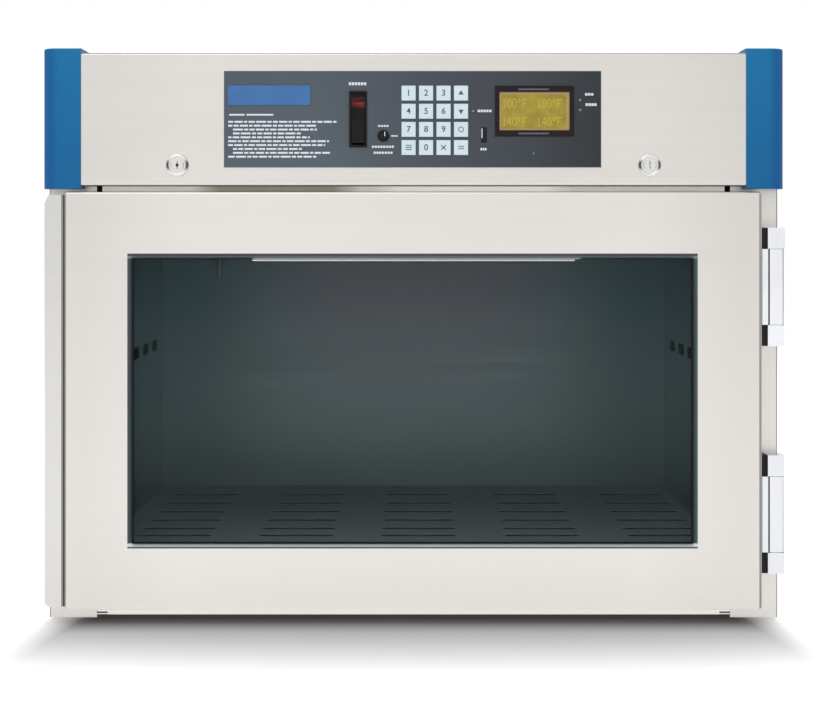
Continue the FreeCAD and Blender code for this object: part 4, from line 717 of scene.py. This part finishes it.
for bottom in (leaf_low.z, leaf_high.z - hinge_length):
    middle_low, middle_high = bottom + end_knuckle, bottom + hinge_length - end_knuckle
    for start in (bottom, middle_high):
        block(faces, (knuckle_left, leaf_low.y - knuckle_skin, start + knuckle_gap),
              (leaf_high.x, pin_y, start + end_knuckle - knuckle_gap))
    for joint in (middle_low + end_play / 2, middle_high - end_play / 2):
        block(washers, (washer_left, leaf_low.y + washer_sunk, joint - end_play * 0.45),
              (leaf_high.x - 0.6 * mm, pin_y, joint + end_play * 0.45))
    block(barrels, (barrel_left, leaf_low.y + barrel_sunk, middle_low + end_play),
          (barrel_right, pin_y, middle_high - end_play))
    # Thin black strips of painted shade: beside the door's edge, between leaf and barrel, and past the
    # barrel.
    for start, end in (
        (door_high.x + shade_strip_width, door_high.x + shade_strip_width + 0.8 * mm),
        (groove_left, barrel_left), (barrel_right, barrel_right + 0.5 * mm),
    ):
        block(shade_strips, (start, leaf_low.y + groove_sunk, middle_low + end_play),
              (end, leaf_low.y + groove_sunk + groove_depth, middle_high - end_play))
round_corners(faces, 2, knuckle_edge, 3)
round_corners(barrels, 2, barrel_edge)
made("knuckle_faces", faces, chrome, "stainless", smooth=True)
made("barrel_faces", barrels, chrome, "stainless", "door", smooth=True)
made("leaf_shade_strips", shade_strips, nylon, "seal_rubber", "door")
made("hinge_washers", washers, nylon, "seal_rubber")


# -------------------- header end caps
# Moulded blue caps close both ends of the header. Painted shade darkens them towards the bottom
# and turns the outer third of their fronts a deeper blue, where the moulding turns round the corner.
cap_finish = Finish("cap_blue", Specular_IOR_Level=0.15)
cap_across, _, cap_up = cap_finish.axes()
cap_turn_x = abs(cap_finish.axes("Normal")[0])
cap_low, cap_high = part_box("header_cap_right")
cap_fleck = cap_finish.noise(1600, detail=2.0)
cap_wash = cap_finish.noise(12, seed=4.0)
# Painted shade: darker towards the bottom and where the moulding turns round the corner.
cap_rise = cap_up.rising(cap_low.z, cap_high.z)
face_tone = cap_finish.mix(cap_rise, srgb(16, 96, 150), srgb(24, 112, 164))
face_tone = cap_finish.mix(cap_wash * 0.25, face_tone, srgb(44, 126, 174))
band_start, band_full = cap_high.x - 17 * mm, cap_high.x - 8 * mm
turn_shade = abs(cap_across).rising(band_start, band_full).larger(cap_turn_x.rising(0.3, 0.8))
cap_finish.colour_by(turn_shade * 0.65, face_tone, srgb(8, 80, 146))
cap_finish.roughen(0.40, (cap_wash, 0.12), (cap_fleck, 0.08))
cap_finish.bump(cap_fleck, 0.10, 0.0003)
coat(cap_finish.material, "header_cap_left", "header_cap_right")


# -------------------- control film
# A printed slate-grey polyester film, darker towards its right-hand end, is bonded to the
# header. It carries a bare blue name plate, a block of fine print and small labels, all
# screen-printed: the plate is plain and the print is ruled bars that spell nothing.
film_low, film_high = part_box("control_overlay")
film_finish = Finish("film_slate", Specular_IOR_Level=0.15)
film_across, _, film_up = film_finish.axes()
film_weave = film_finish.noise(2600, detail=2.0)
film_wash = film_finish.noise(16, seed=8.0)
along_film = film_across.rising(film_low.x, film_high.x)
up_film = film_up.rising(film_low.z, film_high.z)
left_tone = film_finish.mix(film_wash, srgb(86, 95, 104), srgb(96, 105, 114))
right_tone = film_finish.mix(film_wash, srgb(43, 46, 48), srgb(52, 55, 57))
film_tone = film_finish.mix(along_film.rising(0.25, 1.05), left_tone, right_tone)
film_finish.colour_by(up_film * 0.25, film_tone, srgb(60, 66, 74))
film_finish.roughen(0.46, (film_wash, 0.10), (film_weave, 0.12))
film_finish.bump(film_weave, 0.10, 0.0002)
coat(film_finish.material, "control_overlay")

ink_skin = 0.12 * mm
film_face = film_low.y


def printed(bm, x0, x1, z0, z1, skin=ink_skin):
    """One area of ink on the film, from x0 to x1 and z0 to z1 in millimetres."""
    block(bm, (x0 * mm, film_face - skin, z0 * mm), (x1 * mm, film_face + 0.02 * mm, z1 * mm))


ink_white = moulded("ink_white", srgb(244, 248, 252), srgb(204, 212, 220), 0.6, fleck_size=2400.0,
                    wash_size=900.0)
bm = bmesh.new()
border = 0.5
x0, x1, z0, z1 = film_low.x / mm, film_high.x / mm, film_low.z / mm, film_high.z / mm
for bar in ((x0, x1, z1 - border, z1), (x0, x1, z0, z0 + border),
            (x0, x0 + border, z0 + border, z1 - border), (x1 - border, x1, z0 + border, z1 - border)):
    printed(bm, *bar)
ink_grey = moulded("ink_grey", srgb(112, 118, 124), srgb(96, 102, 108), 0.6, fleck_size=2400.0)
made("film_border", bm, ink_grey, "overlay_film")

plate_blue = Finish("plate_blue")
plate_fleck = plate_blue.noise(1500, detail=2.0)
plate_wash = plate_blue.noise(60, seed=2.0)
plate_blue.colour_by(plate_wash, srgb(44, 98, 158), srgb(60, 116, 176))
plate_blue.roughen(0.36, (plate_wash, 0.1), (plate_fleck, 0.1))
plate_blue.bump(plate_fleck, 0.05, 0.0002)
name_plate, name_plate_gauge, name_plate_radius = (-193.5, -107.5, 541.5, 562.0), 0.7 * mm, 1.2 * mm
bm = bmesh.new()
printed(bm, *name_plate, skin=name_plate_gauge)
round_corners(bm, 1, name_plate_radius)
made("name_plate_blank", bm, plate_blue.material, "blue_plastic", smooth=True)

fine_rows = [(-193, -79), (-193, -101.6), (-188, -100.6), (-188, -116.7), (-193, -108),
             (-193, -88), (-193, -92), (-188, -115.7), (-188, -87), (-193, -100.6)]
fine_dashes, fine_gap = (5.2, 8.6, 3.4, 6.8, 10.4, 4.3), 1.3
fine_top, fine_pitch, fine_height = 524.1, 4.04, 1.9
heading_low, heading_high = 530.6, 532.3
bm = bmesh.new()
for start, end in ((-192, -176), (-174, -146)):
    printed(bm, start, end, heading_low, heading_high)
for row, (start, end) in enumerate(fine_rows):
    level = fine_top - row * fine_pitch
    step = 0
    while start < end:
        dash = min(fine_dashes[(row * 5 + step) % len(fine_dashes)], end - start)
        printed(bm, start, start + dash, level - fine_height / 2, level + fine_height / 2)
        start += dash + fine_gap
        step += 1
made("fine_print", bm, ink_white, "overlay_film")

label_bars = [(-67.4, -48.5, 562.2, 565.2), (-37.0, -25.4, 518.9, 520.7), (-23.2, -16.0, 508.6, 510.2),
              (-43.2, -19.8, 497.0, 499.2), (-41.5, -21.2, 490.8, 493.0), (66.8, 81.8, 534.2, 536.7),
              (69.7, 76.6, 494.4, 496.8), (178.7, 188.0, 551.4, 554.0), (179.2, 191.3, 540.6, 543.4)]
letter_width, letter_inked = 3.1, 0.78
bm = bmesh.new()
for start, end, low, high in label_bars:
    letters = max(3, round((end - start) / letter_width))
    pitch = (end - start) / letters
    for place in range(letters):
        printed(bm, start + place * pitch, start + (place + letter_inked) * pitch, low, high)
made("label_bars", bm, ink_white, "overlay_film")

dot_x, dot_z = 125.1 * mm, 491.2 * mm
bm = bmesh.new()
lathe(bm, (dot_x, film_face + 0.02 * mm, dot_z), (0, -1, 0),
      [(0, 0.45 * mm), (0.6 * mm, 0.4 * mm), (1.0 * mm, 0.15 * mm), (1.1 * mm, 0)], steps=20)
dot_grey = moulded("dot_grey", srgb(128, 132, 138), srgb(108, 112, 118), 0.4)
made("sensor_dot", bm, dot_grey, "overlay_film", smooth=True)


# -------------------- display
# An amber liquid-crystal panel with two lines of dot characters sits in a moulded black
# surround. Two grey spring clips show in the surround, above and below the glass.
surround = moulded("surround_black", srgb(40, 32, 34), srgb(26, 22, 26), 0.4, fleck_size=1100.0, gloss=0.12)
coat(surround, "display_bezel")
screen_left, screen_right, screen_bottom, screen_top = 89.0 * mm, 163.0 * mm, 514.6 * mm, 555.4 * mm
amber = Finish("lcd_amber")
amber_across, _, amber_up = amber.axes()
amber_wash = amber.noise(90)
amber_grid = amber.noise(900, detail=1.0)
inside_rim = (amber_across.between(screen_left + 3.2 * mm, screen_right - 4.2 * mm, 1.2 * mm)
              * amber_up.between(screen_bottom + 3.0 * mm, screen_top - 3.4 * mm, 1.2 * mm))
glow = amber.mix(amber_wash.rising(0.3, 0.7), srgb(145, 127, 32), srgb(171, 151, 40))
pale_rim = amber.mix(amber_wash, srgb(172, 144, 92), srgb(186, 158, 104))
amber.colour_by(inside_rim, pale_rim, glow)
amber.roughen(0.32, (amber_wash, 0.1), (amber_grid, 0.06))
amber.bump(amber_grid, 0.03, 0.0002)
coat(amber.material, "display_module")

dot_patterns = {
    "1": ("00100", "01100", "00100", "00100", "00100", "00100", "01110"),
    "4": ("00010", "00110", "01010", "10010", "11111", "00010", "00010"),
    "0": ("01110", "10001", "10001", "10001", "10001", "10001", "01110"),
    "o": ("01100", "10010", "01100", "00000", "00000", "00000", "00000"),
    "F": ("11111", "10000", "10000", "11110", "10000", "10000", "10000"),
}
dot_across, dot_up, dot_gap, letter_pitch = 0.90, 1.34, 0.12, 5.35
screen_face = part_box("display_module")[0].y
bm = bmesh.new()
for words, first_x, top_z in (("100oF", 92.4, 548.1), ("100oF", 128.6, 548.1),
                              ("140oF", 92.4, 529.0), ("140oF", 128.6, 529.0)):
    for place, letter in enumerate(words):
        for row, line in enumerate(dot_patterns[letter]):
            for column, lit in enumerate(line):
                if lit == "1":
                    left = first_x + place * letter_pitch + column * dot_across
                    low = top_z - (row + 1) * dot_up
                    block(bm, (left * mm, screen_face - 0.05 * mm, low * mm),
                          ((left + dot_across - dot_gap) * mm, screen_face + 0.02 * mm,
                           (low + dot_up - dot_gap) * mm))
lcd_lit = moulded("lcd_lit", srgb(206, 190, 78), srgb(190, 172, 60), 0.4, fleck_size=2400.0)
made("display_characters", bm, lcd_lit, "lcd")

clip_left, clip_right, clip_half, clip_proud = 109 * mm, 141 * mm, 0.9 * mm, 0.25 * mm
clip_levels = (557.9 * mm, 511.9 * mm)
surround_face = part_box("display_bezel")[0].y
bm = bmesh.new()
for level in clip_levels:
    block(bm, (clip_left, surround_face - clip_proud, level - clip_half),
          (clip_right, surround_face + 0.3 * mm, level + clip_half))
round_corners(bm, 1, 0.5 * mm, 3)
clip_grey = plated("clip_grey", srgb(112, 104, 108), srgb(88, 82, 88), 0.4)
made("display_clips", bm, clip_grey, "pin_steel")


# -------------------- keypad
# Sixteen pale blue-grey caps are moulded with a slight grain. Ten carry plain numerals and
# the others plain marks: arrows, a ring, bars and a cross, all printed in grey.
key_names = [name for name in nodes if name.startswith("key_") and not name.startswith("key_switch")]
coat(moulded("key_cap", srgb(220, 236, 243), srgb(210, 227, 235), 0.42), *key_names)
key_ink = moulded("key_ink", srgb(92, 106, 114), srgb(72, 86, 94), 0.6, fleck_size=2400.0)
numeral_height, numeral_swell, capital_share = 6.4 * mm, 0.12 * mm, 0.72
arrow_radius, ring_outer, ring_inner = 3.2 * mm, 2.9 * mm, 2.1 * mm
cross_length, cross_width, bar_length, bar_height = 7.0 * mm, 1.0 * mm, 6.4 * mm, 0.9 * mm
key_ink_skin = 0.10 * mm


def numeral(words, height):
    """Printed characters in the XY plane, centred on the origin, as a mesh."""
    curve = bpy.data.curves.new("numeral", "FONT")
    curve.body = words
    curve.size = height / capital_share
    curve.align_x = "CENTER"
    curve.align_y = "CENTER"
    curve.extrude = key_ink_skin / 2
    curve.offset = numeral_swell
    carrier = bpy.data.objects.new("numeral", curve)
    bm = bmesh.new()
    bm.from_mesh(bpy.data.meshes.new_from_object(carrier))
    bpy.data.objects.remove(carrier)
    return bm


def key_mark(kind):
    """A plain mark in the XY plane, centred on the origin, as a mesh."""
    bm = bmesh.new()
    if kind in ("up", "down"):
        bmesh.ops.create_circle(bm, cap_ends=True, segments=3, radius=arrow_radius,
                                matrix=Matrix.Rotation(0 if kind == "up" else math.pi, 4, "Z"))
        solid = bmesh.ops.extrude_face_region(bm, geom=bm.faces[:])
        raised = [part for part in solid["geom"] if isinstance(part, bmesh.types.BMVert)]
        bmesh.ops.translate(bm, verts=raised, vec=(0, 0, key_ink_skin / 2))
    elif kind == "set":
        lathe(bm, (0, 0, 0), (0, 0, 1), [(ring_outer, 0), (ring_outer, key_ink_skin / 2),
                                         (ring_inner, key_ink_skin / 2), (ring_inner, 0)], steps=28)
    elif kind == "clear":
        for turn in (45, -45):
            bmesh.ops.create_cube(bm, size=1.0, matrix=Matrix.Rotation(math.radians(turn), 4, "Z")
                                  @ Matrix.Diagonal((cross_length, cross_width, key_ink_skin, 1)))
    else:
        bar_levels = (-2.2, 0, 2.2) if kind == "mode" else (-1.2, 1.2)
        for level in bar_levels:
            bmesh.ops.create_cube(bm, size=1.0, matrix=Matrix.Translation((0, level * mm, 0))
                                  @ Matrix.Diagonal((bar_length, bar_height, key_ink_skin, 1)))
    return bm


for key_name in key_names:
    mark = key_name[4:]
    bm = numeral(mark, numeral_height) if mark.isdigit() else key_mark(mark)
    key_low, key_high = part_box(key_name)
    # The cap's visible front is centred between its collar's sides.
    facing = Matrix.Translation(((key_low.x + key_high.x) / 2, key_low.y, (key_low.z + key_high.z) / 2))
    bmesh.ops.transform(bm, matrix=facing @ Matrix.Rotation(math.radians(90), 4, "X"), verts=bm.verts[:])
    made("mark_" + mark, bm, key_ink, "key_plastic", key_name)


# -------------------- power switch
# A tall black rocker tilts in a black snap-in frame. A dark red window, streaked and darkest
# at its top, is let into its upper half.
coat(moulded("switch_frame", srgb(28, 25, 27), srgb(19, 17, 19), 0.45, gloss=0.12), "rocker_housing")
coat(moulded("rocker_black", srgb(26, 23, 24), srgb(17, 15, 17), 0.35, gloss=0.12), "power_rocker")
rocker_low, rocker_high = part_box("power_rocker")
rocker_face = film_face - 0.18 * mm
window_side, window_low, window_high = 0.6 * mm, 538.9 * mm, 549.9 * mm
bm = rounded_block((rocker_low.x + window_side, rocker_face - 0.18 * mm, window_low),
                   (rocker_high.x - window_side, rocker_face + 0.1 * mm, window_high), 1, 0.8 * mm)
window_red = Finish("window_red", Specular_IOR_Level=0.12)
window_up = window_red.axes()[2]
window_streak = window_red.noise((90, 90, 1100), detail=2.0)
window_tone = window_red.mix(window_streak.rising(0.42, 0.62), srgb(52, 20, 23), srgb(132, 48, 46))
window_tone = window_red.mix(window_up.rising(544 * mm, 549.5 * mm) * 0.8, window_tone, srgb(34, 20, 24))
window_red.set(Base_Color=window_tone)
window_red.roughen(0.25, (window_streak, 0.1))
window_red.bump(window_streak, 0.1, 0.0002)
made("rocker_window", bm, window_red.material, "rocker_plastic", "power_rocker", smooth=True)


# -------------------- key switch, socket and lamps
# The lock-out switch is a blackened barrel round a dark steel plug, with a bright chrome inlay on the plug
# that is a painted glint.
# Beside the keypad a slim black socket shows its bright tongue in a dark throat of painted shade,
# and three small lamps have clear domed lenses.
black_switch = moulded("switch_black", srgb(26, 25, 26), srgb(16, 15, 16), 0.4, gloss=0.12)
coat(black_switch, "key_switch_body", "power_inlet", "usb_port")
coat(plated("plug_dark", srgb(58, 58, 60), srgb(30, 30, 32), 0.25), "key_switch_plug")
plug_low, plug_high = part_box("key_switch_plug")
plug_x, plug_z = (plug_low.x + plug_high.x) / 2, (plug_low.z + plug_high.z) / 2
# A painted glint: a small bright chrome inlay right of the plug's middle.
glint_left, glint_right, glint_low, glint_high = 1.1 * mm, 1.9 * mm, -2.4 * mm, 2.2 * mm
bm = rounded_block((plug_x + glint_left, plug_low.y - 0.15 * mm, plug_z + glint_low),
                   (plug_x + glint_right, plug_low.y + 0.1 * mm, plug_z + glint_high), 1, 0.3 * mm, 3)
made("switch_glint", bm, chrome, "chrome", "key_switch_plug")
port_low, port_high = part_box("usb_port")
# A dark skin over the socket's mouth paints the shade inside it.
throat_wall, throat_skin = 0.5 * mm, 0.10 * mm
bm = rounded_block((port_low.x + throat_wall, port_low.y - throat_skin, port_low.z + throat_wall),
                   (port_high.x - throat_wall, port_low.y + throat_skin, port_high.z - throat_wall),
                   1, 0.5 * mm, 3)
made("socket_throat", bm, recess_shade, "black_plastic")
bm = rounded_block((port_low.x + 0.1 * mm, port_low.y - throat_skin * 2, port_low.z + 4.2 * mm),
                   (port_low.x + 0.95 * mm, port_low.y, port_high.z - 0.6 * mm), 1, 0.3 * mm, 3)
made("socket_tongue", bm, chrome, "pin_steel")
coat(moulded("lamp_lens", srgb(150, 158, 160), srgb(122, 130, 134), 0.22), "status_lamps")
coat(moulded("circuit_green", srgb(30, 84, 56), srgb(22, 70, 46), 0.4, fleck_size=400.0), "control_board")


# -------------------- door locks
# Two cam locks stand in the header above the door's corners. Each satin chromed barrel ends in
# a rolled rim round a plug with a keyway; painted shade darkens the rim and an inner ring at both
# sides, and a dark disc paints the shade in the left keyway.
rim_outer, rim_inner, rim_crown = 11.5 * mm, 8.6 * mm, 0.9 * mm
rim_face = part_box("lock_housings")[0].y
lock_side, lock_level = 246 * mm, 479 * mm
rim_middle, rim_half = (rim_outer + rim_inner) / 2, (rim_outer - rim_inner) / 2
rim_turns = [step * math.pi / 8 for step in range(9)]
rim_profile = [(rim_middle + rim_half * math.cos(turn), rim_crown * math.sin(turn)) for turn in rim_turns]
bm = bmesh.new()
for side in (-1, 1):
    lathe(bm, (side * lock_side, rim_face, lock_level), (0, -1, 0), rim_profile, steps=48)
lock_finish = Finish("lock_chrome", Metallic=1.0)
lock_x, _, lock_z = lock_finish.axes()
sideward, upward = abs(abs(lock_x) - lock_side), abs(lock_z - lock_level)
from_middle = (sideward * sideward + upward * upward).math("SQRT")
lock_haze = lock_finish.noise(420)
# Painted shade: dark arcs at both sides of the rim and a fainter inner ring.
side_shade_arcs = from_middle.over(rim_inner + 0.4 * mm) * (1.0 - upward.rising(2.5 * mm, 6.5 * mm))
inner_shade_arcs = (from_middle.between(6.4 * mm, 7.0 * mm, 0.2 * mm)
              * (1.0 - upward.rising(1.5 * mm, 4.5 * mm)) * 0.5)
lock_tone = lock_finish.mix(lock_haze, srgb(222, 221, 218), srgb(206, 205, 203))
lock_finish.colour_by(side_shade_arcs.larger(inner_shade_arcs) * 0.9, lock_tone, srgb(48, 50, 52))
lock_finish.roughen(0.30, (lock_haze, 0.08))
lock_finish.bump(lock_haze, 0.03, 0.0002)
coat(lock_finish.material, "lock_housings", "lock_plug_left", "lock_plug_right")
made("lock_rims", bm, lock_finish.material, "chrome", smooth=True)
# A dark disc paints the shade in the left plug's keyway.
keyhole_radius, keyhole_skin = 1.6 * mm, 0.08 * mm
bm = bmesh.new()
lathe(bm, (-lock_side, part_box("lock_plug_left")[0].y, lock_level), (0, -1, 0),
      [(0, keyhole_skin), (keyhole_radius * 0.9, keyhole_skin), (keyhole_radius, 0)], steps=24)
made("left_keyhole", bm, recess_shade, "chrome", "lock_plug_left", smooth=True)
